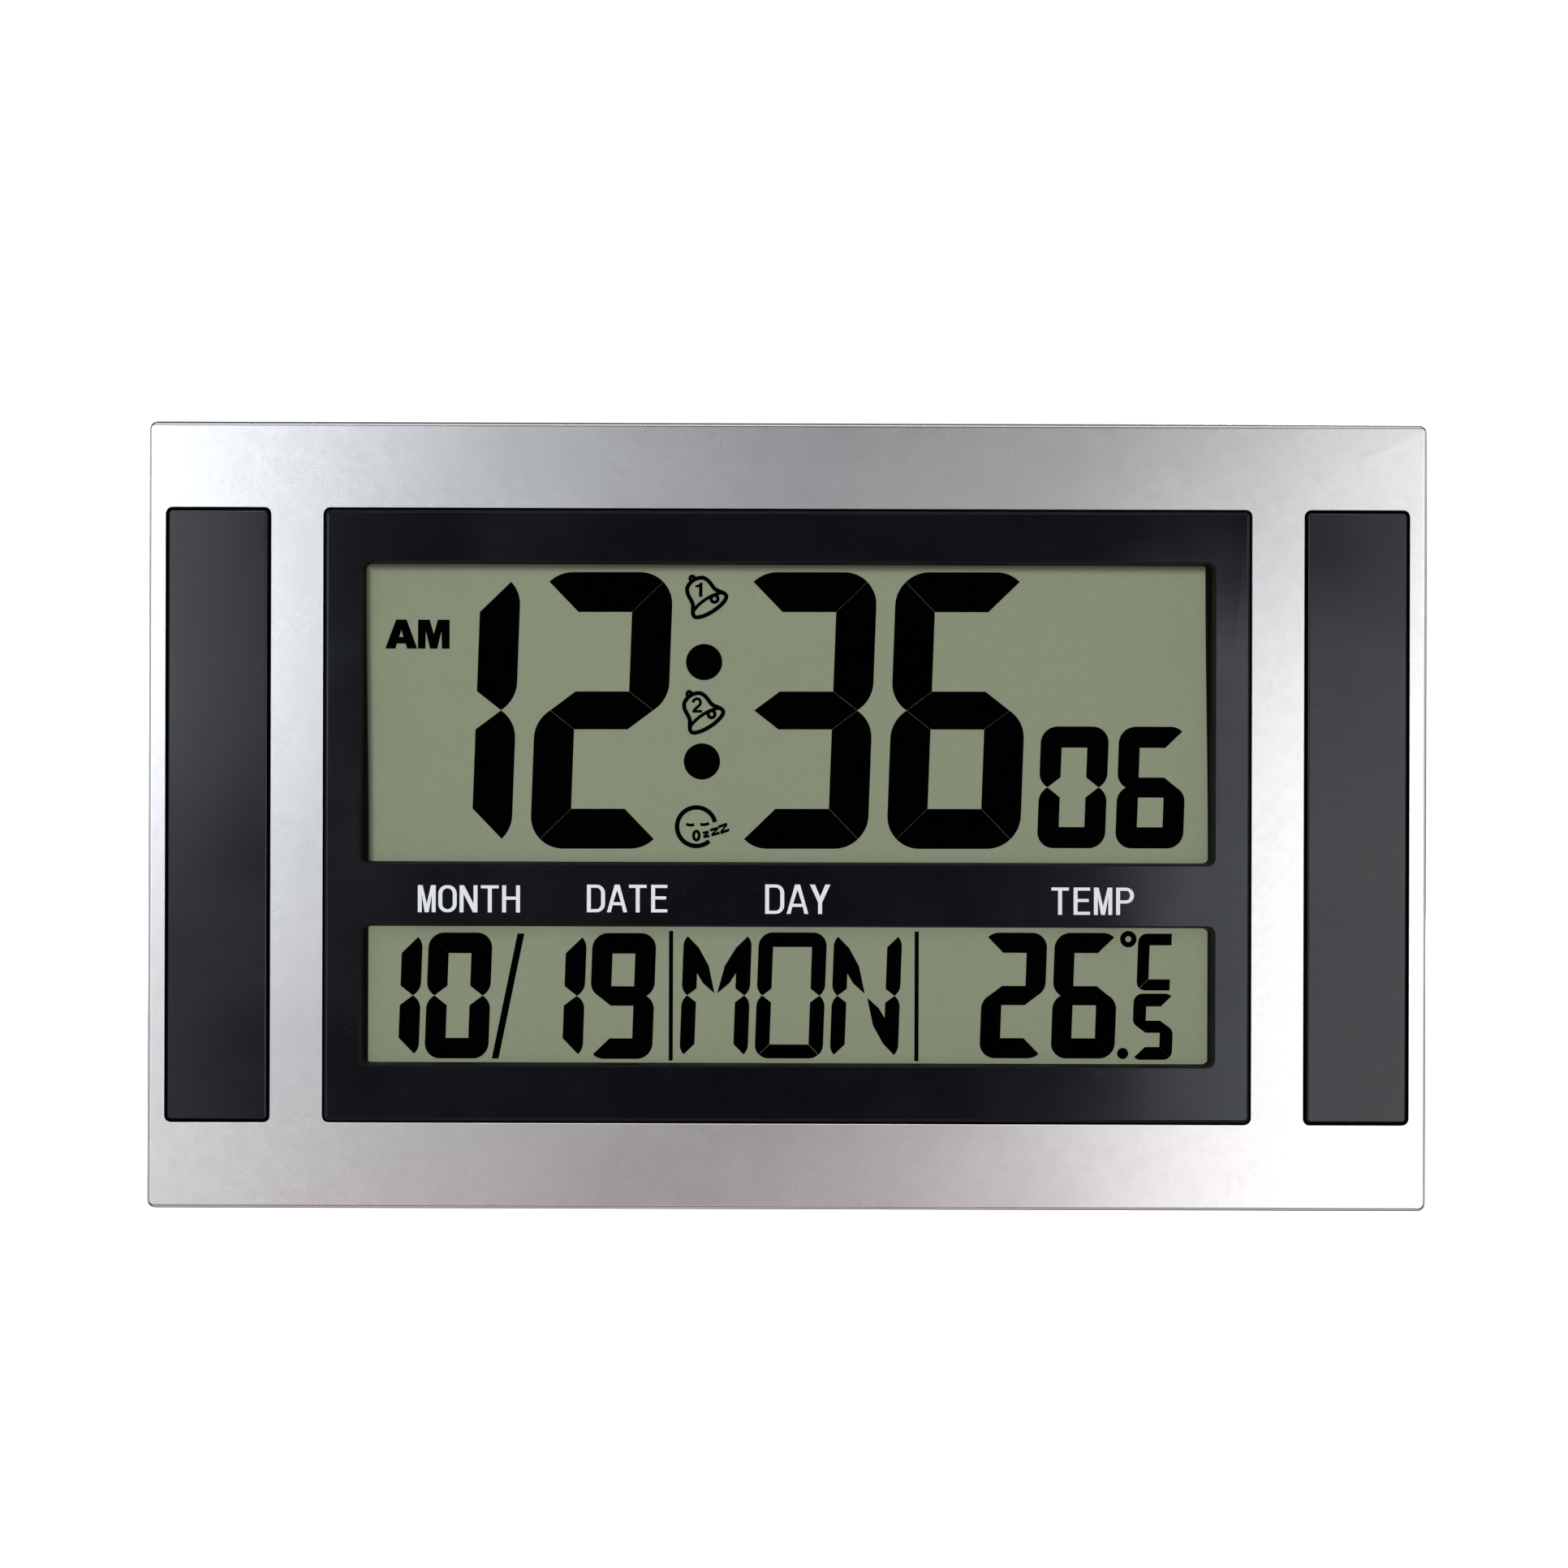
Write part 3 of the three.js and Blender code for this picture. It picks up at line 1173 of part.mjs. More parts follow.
/** Lead from the buzzer to the board's lower edge. */
function buzzerLead(startX, startZ, startDepth, boardX) {
  const points = [
    [startX, startDepth, startZ],
    [startX, startDepth - LEAD_BEND, startZ + LEAD_LAND],
    [(startX + boardX) / 2, (startDepth + wireOnBoard) / 2, (startZ + boardBottom) / 2],
    [boardX, wireOnBoard, boardBottom - LEAD_BEND],
    [boardX, wireOnBoard, boardBottom + LEAD_LAND],
  ];
  return tube(WIRE_RADIUS, points, BUZZER_LEAD_STEPS, WIRE_SIDES).solid;
}

// Front
addPiece('front_bezel', frontBezel(), 'silver');
addPiece('left_inlay', inlay(-1), 'charcoal');
addPiece('right_inlay', inlay(1), 'charcoal');
addPiece('display_frame', displayFrame(), 'black');

// Panel
addPiece(
  'lcd_front_polariser',
  sheet(polariserWidth, polariserBottom, polariserTop, polariserFront, POLARISER),
  'lcd',
);
addPiece('lcd_front_glass', sheet(glassWidth, glassBottom, frontGlassTop, frontGlassFront, GLASS), 'glass');
addPiece('lcd_rear_glass', sheet(glassWidth, glassBottom, rearGlassTop, rearGlassFront, GLASS), 'glass');
addPiece(
  'lcd_rear_polariser',
  sheet(polariserWidth, polariserBottom, polariserTop, reflectorFront, POLARISER),
  'reflector',
);
addPiece('lcd_holder', lcdHolder(), 'white_plastic');
addPiece('zebra_strip', zebraStrip(), 'rubber');

// Board
addPiece('main_board', mainBoard(), 'board');
addPiece('chip_blob', chipBlob(), 'epoxy');
addPiece(
  'crystal',
  crossRod(
    CRYSTAL_RADIUS,
    CRYSTAL_X - CRYSTAL_LENGTH / 2,
    CRYSTAL_X + CRYSTAL_LENGTH / 2,
    boardBack + STACK_GAP + CRYSTAL_RADIUS,
    boardTop - CHIP_ROW,
  ),
  'steel',
);
addPiece('thermistor', thermistor(), 'epoxy');

// Buttons, each over its own switch
for (const { name, x } of buttonRow) {
  addPiece(`switch_${name}`, switchBody(x), 'epoxy');
  addPiece(`plunger_${name}`, rod(PLUNGER_RADIUS, plungerFoot, plungerTop, x, buttonZ), 'white_plastic');
  addPiece(`button_${name}`, button(x), 'key');
}

// Buzzer
addPiece(
  'buzzer_disc',
  rod(BUZZER_RADIUS, discFront, discFront + BUZZER_THICK, BUZZER_X, BUZZER_Z, WIDE_SIDES),
  'brass',
);
addPiece(
  'buzzer_ceramic',
  rod(CERAMIC_RADIUS, ceramicFront, ceramicFront + CERAMIC_THICK, BUZZER_X, BUZZER_Z, WIDE_SIDES),
  'ceramic',
);
addPiece(
  'buzzer_lead_red',
  buzzerLead(BUZZER_X, BUZZER_Z, wireOnCeramic, BUZZER_X + BUZZER_LEAD_SPREAD),
  'red_lead',
);
addPiece(
  'buzzer_lead_black',
  buzzerLead(rimX, BUZZER_Z, wireOnDisc, BUZZER_X - BUZZER_LEAD_SPREAD),
  'black_lead',
);

// Back
addPiece('rear_cover', rearCover(), 'grey_plastic');
addPiece('stand_leg', standLeg(), 'grey_plastic');
addPiece('battery_door', batteryDoor(), 'grey_plastic');

// Cells and contacts
addPiece('battery_1', cell(upperCellZ, -1), 'cell');
addPiece('battery_2', cell(lowerCellZ, 1), 'cell');
const negativeSpring = spring(rightPlateFace, -1, upperCellZ);
const linkSpring = spring(leftPlateFace, 1, lowerCellZ);
console.log('least gap in a battery spring, mm:', leastSelfGap(negativeSpring.centres).toFixed(2));
addPiece(
  'negative_contact',
  contactPlate(bayRight, upperCellZ - plateHalf, upperCellZ + plateHalf)
    .add(solderTab(upperCellZ))
    .add(negativeSpring.solid),
  'steel',
);
addPiece(
  'positive_contact',
  contactPlate(bayRight, lowerCellZ - plateHalf, lowerCellZ + plateHalf).add(solderTab(lowerCellZ)),
  'steel',
);
addPiece(
  'link_contact',
  contactPlate(bayLeft, lowerCellZ - plateHalf, upperCellZ + plateHalf).add(linkSpring.solid),
  'steel',
);
addPiece(
  'battery_lead_red',
  batteryLead(lowerCellZ, tabEndX + RED_LEAD_OUT, BOARD_WIDTH / 2 - RED_LEAD_INSET),
  'red_lead',
);
addPiece(
  'battery_lead_black',
  batteryLead(upperCellZ, tabEndX + BLACK_LEAD_OUT, BOARD_WIDTH / 2 - BLACK_LEAD_INSET),
  'black_lead',
);

// Screws
const screwSets = [
  { name: 'cover_screw', kind: COVER_SCREW, seat: coverScrewSeat, places: coverScrews },
  { name: 'holder_screw', kind: SMALL_SCREW, seat: earSeat, places: earScrews },
  { name: 'board_screw', kind: SMALL_SCREW, seat: boardSeat, places: boardScrews },
];
for (const { name, kind, seat, places } of screwSets) {
  for (const [i, { x, z }] of places.entries()) {
    addPiece(`${name}_${i + 1}`, screw(kind, seat, x, z), 'steel');
  }
}

export default clock;
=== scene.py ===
"""Finished looks of a wide digital clock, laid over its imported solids.

Sizes are in millimetres until a mesh is written. x runs to the right, z up, and y away from the viewer.
"""

import json
import logging
import math
from collections.abc import Callable, Iterable, Sequence
from dataclasses import dataclass
from enum import Enum

import bmesh
import bpy
import numpy as np
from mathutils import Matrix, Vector


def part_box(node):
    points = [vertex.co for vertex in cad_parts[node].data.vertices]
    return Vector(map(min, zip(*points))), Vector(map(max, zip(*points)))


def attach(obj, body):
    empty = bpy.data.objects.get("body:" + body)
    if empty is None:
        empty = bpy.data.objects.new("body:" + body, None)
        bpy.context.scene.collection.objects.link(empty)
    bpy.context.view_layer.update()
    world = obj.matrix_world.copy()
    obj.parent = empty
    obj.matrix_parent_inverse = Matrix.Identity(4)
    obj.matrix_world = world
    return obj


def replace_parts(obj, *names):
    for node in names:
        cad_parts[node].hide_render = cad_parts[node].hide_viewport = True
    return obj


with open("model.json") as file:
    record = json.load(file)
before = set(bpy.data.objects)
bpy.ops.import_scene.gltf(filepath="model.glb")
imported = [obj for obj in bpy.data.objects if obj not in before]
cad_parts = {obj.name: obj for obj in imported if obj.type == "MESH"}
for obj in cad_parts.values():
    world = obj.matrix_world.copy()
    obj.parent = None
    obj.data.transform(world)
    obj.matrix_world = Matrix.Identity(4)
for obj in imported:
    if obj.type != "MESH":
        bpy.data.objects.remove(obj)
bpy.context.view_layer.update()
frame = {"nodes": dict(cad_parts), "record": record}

LOG = logging.getLogger("clock")
MM = 0.001
CRISP_TURN = 35
MITRE_LIMIT = 0.2
TINY = 1e-9
Pair = tuple[float, float]
Pairs = tuple[Pair, ...]
Triple = tuple[float, float, float]
Rows = np.ndarray
Socket = bpy.types.NodeSocket


def span(node: str) -> Rows:
    """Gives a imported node's lowest and highest corners as two rows of millimetres."""
    return np.array([tuple(corner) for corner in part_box(node)]) / MM


def body_of(node: str) -> str:
    """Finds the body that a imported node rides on."""
    bodies = frame["record"]["behaviour"]["bodies"]
    return next(body for body, members in bodies.items() if node in members)


@dataclass(frozen=True)
class Plane:
    """A drawing plane: u and v run along the sheet, and w goes down into it, so that u x v = -w."""

    u: Triple
    v: Triple
    w: Triple

    def lift(self, flat: Rows, level: Rows | float) -> Rows:
        """Puts rows of (a, b) into space as a*u + b*v + level*w, with one level or one for each row."""
        depth = np.broadcast_to(np.asarray(level, dtype=float), flat.shape[:1])
        return flat[:, :1] * self.u + flat[:, 1:2] * self.v + depth[:, None] * np.array(self.w)


FRONT = Plane((1, 0, 0), (0, 0, 1), (0, 1, 0))
REAR = Plane((-1, 0, 0), (0, 0, 1), (0, -1, 0))
FACING_LEFT = Plane((0, 0, 1), (0, 1, 0), (1, 0, 0))
FACING_RIGHT = Plane((0, 1, 0), (0, 0, 1), (-1, 0, 0))


def ring_quads(rows: int, columns: int) -> Rows:
    """Faces of a grid whose columns close on themselves.

    Args:
        rows: number of rings.
        columns: points in each ring.

    Returns:
        Rows of four point indexes.
    """
    here = np.arange(rows - 1)[:, None] * columns
    across = np.arange(columns)[None, :]
    onward = (across + 1) % columns
    corners = [here + across, here + columns + across, here + columns + onward, here + onward]
    return np.stack(np.broadcast_arrays(*corners), axis=-1).reshape(-1, 4)


@dataclass(frozen=True)
class Surface:
    """Points in millimetres, four-cornered faces and flat caps of any number of corners."""

    points: Rows
    quads: Rows
    caps: tuple[Rows, ...] = ()

    @staticmethod
    def capped(points: Rows, columns: int) -> "Surface":
        """Joins rings of so many points each, with a cap on the first and the last."""
        index, last = np.arange(columns), len(points) - columns
        return Surface(points, ring_quads(len(points) // columns, columns), (index, index[::-1] + last))

    @staticmethod
    def closed(points: Rows, columns: int) -> "Surface":
        """Joins rings of so many points each, and the last ring to the first."""
        return Surface(points, ring_quads(len(points) // columns + 1, columns) % len(points))

    @staticmethod
    def joined(parts: Sequence["Surface"]) -> "Surface":
        """Puts several surfaces into one, each part's faces moved on by the points before it.

        Args:
            parts: the surfaces.

        Returns:
            One surface with all their faces.
        """
        starts = np.cumsum([0] + [len(part.points) for part in parts])
        return Surface(
            np.vstack([part.points for part in parts]),
            np.vstack([part.quads + start for part, start in zip(parts, starts)]),
            tuple(cap + start for part, start in zip(parts, starts) for cap in part.caps),
        )

    def piece(self, name: str, body: str, finish: "Finish", slot: str) -> bpy.types.Object:
        """Writes the surface as a piece of the clock, crisp where it turns sharply.

        Args:
            name: name of the piece.
            body: body that it rides on.
            finish: what it is finished in.
            slot: material slot of the record; not used.

        Returns:
            The new object, at the origin.
        """
        mesh = bpy.data.meshes.new(name)
        faces = self.quads.tolist() + [cap.tolist() for cap in self.caps]
        mesh.from_pydata((self.points * MM).tolist(), [], faces)
        mesh.shade_smooth()
        mesh.set_sharp_from_angle(angle=math.radians(CRISP_TURN))
        mesh.materials.append(finish.material())
        mesh.update()
        thing = bpy.data.objects.new(name, mesh)
        bpy.context.scene.collection.objects.link(thing)
        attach(thing, body)
        LOG.info("%s: %d points on %s", name, len(self.points), body)
        return thing


def arc(centre: Pair, radius: float | Pair, start: float, stop: float, count: int = 9) -> Rows:
    """Rows of centre + radius * (cos a, sin a), for so many angles a in degrees from start to stop."""
    turn = np.radians(np.linspace(start, stop, count))
    return np.array(centre) + np.column_stack([np.cos(turn), np.sin(turn)]) * radius


def circle(centre: Pair, radius: float | Pair, count: int) -> Rows:
    """A whole circle or ellipse of so many points, counter-clockwise."""
    return arc(centre, radius, 0, 360, count + 1)[:-1]


def spin(points: Rows, degrees: float) -> Rows:
    """Turns rows of (across, up) counter-clockwise about the origin."""
    a = math.radians(degrees)
    return points @ np.array([[math.cos(a), math.sin(a)], [-math.sin(a), math.cos(a)]])


def mirrored(outline: Rows) -> Rows:
    """Mirrors an outline from left to right and keeps it counter-clockwise."""
    return (outline * (-1, 1))[::-1]


def rounded(low: Pair, high: Pair, radius: float | Pair, count: int = 9) -> Rows:
    """Outline of a rectangle whose corners are quarter circles or ellipses, counter-clockwise.

    Args:
        low: lowest corner.
        high: highest corner.
        radius: corner radius, or one across and one up.
        count: points in each corner.

    Returns:
        Rows of (across, up).
    """
    r, s = (radius, radius) if np.isscalar(radius) else radius
    left, right, under, over = low[0] + r, high[0] - r, low[1] + s, high[1] - s
    corners = ((right, over), (left, over), (left, under), (right, under))
    return np.vstack([arc(c, (r, s), 90 * k, 90 * (k + 1), count) for k, c in enumerate(corners)])


def offset(points: Rows, distance: float, closed: bool) -> Rows:
    """Moves a line sideways, each corner along p + d (m + n) / (1 + m.n) of its two unit normals.

    Args:
        points: rows of (across, up).
        distance: how far to the left of the way it runs.
        closed: whether the last point joins the first.

    Returns:
        The moved rows.
    """
    step = np.roll(points, -1, axis=0) - points
    normal = np.column_stack([-step[:, 1], step[:, 0]])
    normal /= np.maximum(np.linalg.norm(normal, axis=1, keepdims=True), TINY)
    before = np.roll(normal, 1, axis=0)
    if not closed:
        normal[-1], before[0] = before[-1], normal[0]
    share = 1 + np.sum(normal * before, axis=1, keepdims=True)
    return points + distance * (normal + before) / np.maximum(share, MITRE_LIMIT)


def ribbon(path: Rows, width: float) -> Rows:
    """Outline of an open stroke: the path moved to its right, then back along its left."""
    return np.vstack([offset(path, -width / 2, False), offset(path, width / 2, False)[::-1]])


@dataclass(frozen=True)
class Slab:
    """A flat layer between a seen and a hidden level, which outlines are cut out of."""

    near: float
    far: float
    plane: Plane = FRONT

    def plate(self, outline: Rows) -> Surface:
        """A plate: the outline at both levels, joined by a wall and capped."""
        rings = [self.plane.lift(outline, level) for level in (self.near, self.far)]
        return Surface.capped(np.vstack(rings), len(outline))

    def band(self, outer: Rows, inner: Rows) -> Surface:
        """A ring between two outlines of as many points each."""
        rings = ((inner, self.near), (outer, self.near), (outer, self.far), (inner, self.far))
        return Surface.closed(np.vstack([self.plane.lift(*ring) for ring in rings]), len(outer))

    def loop(self, path: Rows, width: float) -> Surface:
        """A closed stroke: the ring between a path moved out and in by half its width."""
        return self.band(offset(path, -width / 2, True), offset(path, width / 2, True))

    def raised(self, step: float) -> "Slab":
        """The same layer, nearer to the viewer by a step."""
        return Slab(self.near - step, self.far - step, self.plane)


def lathe(profile: Rows, centre: Triple, plane: Plane, hollow: bool = False, sides: int = 72) -> Surface:
    """A turned piece: each (radius, level) carried once round the axis.

    Args:
        profile: rows of (radius, level along w), from the near end to the far end.
        centre: point that the axis goes through.
        plane: plane that the axis stands on.
        hollow: the profile closes on itself, as a ring's does, in place of a cap at each end.
        sides: points round.

    Returns:
        A closed surface.
    """
    turn = np.linspace(0, 2 * np.pi, sides, endpoint=False)
    ring = np.column_stack([np.cos(turn), np.sin(turn)])
    flat = (profile[:, None, :1] * ring[None]).reshape(-1, 2)
    points = plane.lift(flat, np.repeat(profile[:, 1], sides)) + np.array(centre)
    return Surface.closed(points, sides) if hollow else Surface.capped(points, sides)


def tube(path: Rows, radius: float, axis: Triple, sides: int = 14) -> Surface:
    """A round wire: a circle carried along a path, on frames of tangent, side and up.

    Args:
        path: rows of (x, y, z).
        radius: radius of the wire.
        axis: a direction that the path never runs along.
        sides: points round it.

    Returns:
        A closed surface.
    """
    along = np.gradient(path, axis=0)
    along /= np.linalg.norm(along, axis=1, keepdims=True)
    side = np.cross(along, np.array(axis, dtype=float))
    side /= np.linalg.norm(side, axis=1, keepdims=True)
    up = np.cross(along, side)
    turn = np.linspace(0, 2 * np.pi, sides, endpoint=False)[None, :, None]
    rings = path[:, None] + radius * (np.cos(turn) * side[:, None] - np.sin(turn) * up[:, None])
    return Surface.capped(rings.reshape(-1, 3), sides)


def smooth_path(points: Rows, steps: int = 12) -> Rows:
    """A curve through points: between two of them the cubic whose slopes are half the neighbours' step.

    Args:
        points: rows of two or three numbers that it goes through.
        steps: points in each stretch.

    Returns:
        Rows of as many numbers.
    """
    ends = np.vstack([2 * points[0] - points[1], points, 2 * points[-1] - points[-2]])
    slope = (ends[2:] - ends[:-2]) / 2
    s = np.linspace(0, 1, steps, endpoint=False)[None, :, None]
    a, b, m, n = points[:-1, None], points[1:, None], slope[:-1, None], slope[1:, None]
    leaving = (2 * s**3 - 3 * s**2 + 1) * a + (s**3 - 2 * s**2 + s) * m
    cubic = leaving + (3 * s**2 - 2 * s**3) * b + (s**3 - s**2) * n
    return np.vstack([cubic.reshape(-1, points.shape[1]), points[-1:]])


class Graph:
    """A node tree with short ways to add nodes and to join them."""

    def __init__(self, tree: bpy.types.NodeTree) -> None:
        """Takes the tree to be filled."""
        self.tree = tree

    @staticmethod
    def fresh(owner: bpy.types.Material | bpy.types.World) -> "Graph":
        """Gives the emptied graph of a new material or world.

        Args:
            owner: the material or world.

        Returns:
            Its graph.
        """
        owner.use_nodes = True
        owner.node_tree.nodes.clear()
        return Graph(owner.node_tree)

    def add(self, kind: str, settings: dict | None = None, **links: object) -> bpy.types.Node:
        """Adds a node and feeds its sockets.

        Args:
            kind: node class without its prefix, such as TexNoise.
            settings: properties of the node.
            links: socket names, spaces as underscores, or numbers after an underscore, and what each is fed.

        Returns:
            The node.
        """
        node = self.tree.nodes.new("ShaderNode" + kind)
        for key, value in (settings or {}).items():
            setattr(node, key, value)
        for key, value in links.items():
            self.feed(node.inputs[int(key[1:]) if key[1:].isdigit() else key.replace("_", " ")], value)
        return node

    def feed(self, socket: Socket, value: object) -> None:
        """Links a socket to another, or sets its value, where a colour of three numbers is opaque.

        Args:
            socket: what is fed.
            value: a socket, or a plain value.
        """
        if isinstance(value, Socket):
            self.tree.links.new(value, socket)
        else:
            socket.default_value = (*value, 1.0) if socket.type == "RGBA" and len(value) == 3 else value

    def math(self, operation: str, first: object, second: object = 0.0) -> Socket:
        """Gives the result of one sum on two values."""
        return self.add("Math", {"operation": operation}, _0=first, _1=second).outputs[0]

    def ramp(self, value: object, low: float, high: float, to_low: float = 0.0, to_high: float = 1.0) -> Socket:
        """Gives a value carried smoothly from low..high to to_low..to_high, held at its ends."""
        ranges = {"_1": low, "_2": high, "_3": to_low, "_4": to_high}
        return self.add("MapRange", {"interpolation_type": "SMOOTHSTEP"}, _0=value, **ranges).outputs[0]

    def rise(self, length: object, low: float, high: float, to_low: float = 0.0, to_high: float = 1.0) -> Socket:
        """Gives a ramp over a length between two marks in millimetres."""
        return self.ramp(length, low * MM, high * MM, to_low, to_high)

    def mix(self, share: object, first: object, second: object) -> Socket:
        """Gives a colour between two, by a share from 0 to 1."""
        return self.add("Mix", {"data_type": "RGBA"}, Factor=share, _6=first, _7=second).outputs[2]

    def noise(self, place: object, scale: object, detail: float = 2.0) -> Socket:
        """Gives smooth noise of so many waves in a metre."""
        return self.add("TexNoise", None, Vector=place, Scale=scale, Detail=detail).outputs["Fac"]

    def axis(self, place: object, letter: str) -> Socket:
        """Gives one coordinate of a place."""
        return self.add("SeparateXYZ", None, Vector=place).outputs[letter]


def skin_grain(graph: Graph, place: Socket, scale: Socket) -> dict[str, Socket]:
    """Fine grain of a moulded or painted skin: noise of two sizes, and slow clouds of some centimetres.

    Args:
        graph: the effect's graph.
        place: point on the skin.
        scale: waves of the finer noise in a metre.

    Returns:
        A socket for each value that comes out.
    """
    wider, fine_share, wide_share, cloud_waves, detail = 3.0, 0.65, 0.35, 38.0, 4.0
    fine = graph.math("MULTIPLY", graph.noise(place, scale, 3.0), fine_share)
    wide = graph.math("MULTIPLY", graph.noise(place, graph.math("DIVIDE", scale, wider)), wide_share)
    return {"Grain": graph.math("ADD", fine, wide), "Cloud": graph.noise(place, cloud_waves, detail)}


def dust_and_wipe(graph: Graph, place: Socket, scale: Socket) -> dict[str, Socket]:
    """Loose specks on a dark skin, the middles of cells where slow noise allows them, and wiped streaks.

    Args:
        graph: the effect's graph.
        place: point on the skin.
        scale: cells in a metre.

    Returns:
        A socket for each value that comes out.
    """
    speck_edge, patch_waves, patch_edge = (0.05, 0.11), 160.0, (0.56, 0.66)
    streak_waves, detail = (60.0, 60.0, 900.0), 4.0
    cells = graph.add("TexVoronoi", None, Vector=place, Scale=scale)
    speck = graph.ramp(cells.outputs["Distance"], *speck_edge, 1.0, 0.0)
    some = graph.ramp(graph.noise(place, patch_waves, 1.0), *patch_edge)
    drawn = graph.add("VectorMath", {"operation": "MULTIPLY"}, _0=place, _1=streak_waves).outputs[0]
    return {"Speck": graph.math("MULTIPLY", speck, some), "Streak": graph.noise(drawn, 1.0, detail)}


def group(fill: Callable[[Graph, Socket, Socket], dict], scale: float, *outputs: str) -> bpy.types.NodeTree:
    """Builds a shared effect with a place and a scale once, and gives it back after that.

    Args:
        fill: builds the nodes from place and scale, and gives a socket for each output.
        scale: first value of its scale.
        outputs: names of the values that come out.

    Returns:
        The node group, named after what fills it.
    """
    found = bpy.data.node_groups.get(fill.__name__)
    if found:
        return found
    tree = bpy.data.node_groups.new(fill.__name__, "ShaderNodeTree")
    tree.interface.new_socket("Place", in_out="INPUT", socket_type="NodeSocketVector")
    tree.interface.new_socket("Scale", in_out="INPUT", socket_type="NodeSocketFloat").default_value = scale
    for label in outputs:
        tree.interface.new_socket(label, in_out="OUTPUT", socket_type="NodeSocketFloat")
    entry, leave = tree.nodes.new("NodeGroupInput"), tree.nodes.new("NodeGroupOutput")
    graph = Graph(tree)
    for label, socket in fill(graph, entry.outputs["Place"], entry.outputs["Scale"]).items():
        graph.feed(leave.inputs[label], socket)
    return tree


GRAIN_WAVES = 2500.0
DUST_CELLS = 700.0
BLACK = (0.0, 0.0, 0.0)
DUST = (0.55, 0.54, 0.52)
WIPE_SHARE = 0.25
CLOUD_SHARE = 0.5
CLOUD_RANGE = (0.3, 0.7)
PATTERN_RANGE = (0.55, 0.95)
BUMP_DEPTH = 0.0002


@dataclass(frozen=True)
class Finish:
    """A finish of one colour family, with grain, cloudy change and dust laid over a plain shader."""

    name: str
    colour: Triple
    second: Triple
    rough: Pair
    metal: float = 0.0
    specular: float = 0.5
    grain: float = GRAIN_WAVES
    relief: float = 0.05
    speck: float = 0.0
    glass: float = 0.0
    gleam: Triple = (1.0, 1.0, 1.0)

    def material(self) -> bpy.types.Material:
        """Gives the material, built the first time it is asked for."""
        return bpy.data.materials.get(self.name) or self._build()

    def _build(self) -> bpy.types.Material:
        """Builds the shader: colour and roughness from the grain, bump from it too.

        Returns:
            The new material.
        """
        made = bpy.data.materials.new(self.name)
        graph = Graph.fresh(made)
        place = graph.add("TexCoord").outputs["Object"]
        grain = group(skin_grain, GRAIN_WAVES, "Grain", "Cloud")
        skin = graph.add("Group", {"node_tree": grain}, Place=place, Scale=self.grain)
        colour = graph.mix(self.pattern(graph, place, skin), self.colour, self.second)
        rough = graph.ramp(skin.outputs["Cloud"], *CLOUD_RANGE, *self.rough)
        if self.speck:
            specks = group(dust_and_wipe, DUST_CELLS, "Speck", "Streak")
            dust = graph.add("Group", {"node_tree": specks}, Place=place).outputs
            colour = graph.mix(graph.math("MULTIPLY", dust["Speck"], self.speck), colour, DUST)
            rough = graph.math("ADD", rough, graph.math("MULTIPLY", dust["Streak"], self.rough[1] * WIPE_SHARE))
        bump = graph.add("Bump", None, Strength=self.relief, Distance=BUMP_DEPTH, Height=skin.outputs["Grain"])
        shader = graph.add("BsdfPrincipled", None, Base_Color=self.shade(graph, place, colour), Roughness=rough,
                           Metallic=self.metal, Specular_IOR_Level=self.specular, Specular_Tint=self.gleam,
                           Transmission_Weight=self.glass, Normal=bump.outputs[0])
        graph.add("OutputMaterial", None, Surface=shader.outputs[0])
        return made

    def pattern(self, graph: Graph, place: Socket, skin: bpy.types.Node) -> Socket:
        """Gives the share of the second colour, here from grain and cloud together."""
        cloud = graph.math("MULTIPLY", skin.outputs["Cloud"], CLOUD_SHARE)
        return graph.ramp(graph.math("ADD", skin.outputs["Grain"], cloud), *PATTERN_RANGE)

    def shade(self, graph: Graph, place: Socket, colour: Socket) -> Socket:
        """Gives the colour as it is; a finish that is dimmer in places changes it here."""
        return colour


@dataclass(frozen=True)
class FilmFinish(Finish):
    """The panel's film, with a dark border at its sides and painted lip shadow at the tall window's top and left."""

    sides: Pair = (-87.08, 87.58)
    lean: float = 0.66
    tall: Pair = (72.0, 134.0)
    top: float = 133.75
    reach: Pair = (1.5, 1.9)
    split: Pair = (64.0, 66.0)
    soft: float = 0.05
    # painted shadow tone, where the frame's lip would shade the film
    painted_shadow: Triple = (0.080, 0.080, 0.060)
    border: Triple = (0.002, 0.002, 0.002)

    def shade(self, graph: Graph, place: Socket, colour: Socket) -> Socket:
        """Paints the lip's shadow, fading to full colour over the reach above the split, then darkens both sides.

        Args:
            graph: the material's graph.
            place: the point on the film.
            colour: its plain colour.

        Returns:
            The shaded colour.
        """
        height = graph.axis(place, "Z")
        left, right = self.sides
        across = graph.math("ADD", graph.axis(place, "X"), graph.rise(height, *self.tall, 0.0, self.lean * MM))
        # painted shadow mask: full colour past the reach from the left edge and from the top, only above the split
        inside = graph.rise(across, left, left + self.reach[0])
        below = graph.rise(height, self.top - self.reach[1], self.top, 1.0, 0.0)
        low = graph.rise(height, *self.split, 1.0, 0.0)
        seen = graph.mix(graph.math("MINIMUM", below, graph.math("MAXIMUM", inside, low)), self.painted_shadow, colour)
        after = graph.rise(across, left - self.soft, left + self.soft)
        before = graph.rise(across, right - self.soft, right + self.soft, 1.0, 0.0)
        return graph.mix(graph.math("MINIMUM", after, before), self.border, seen)


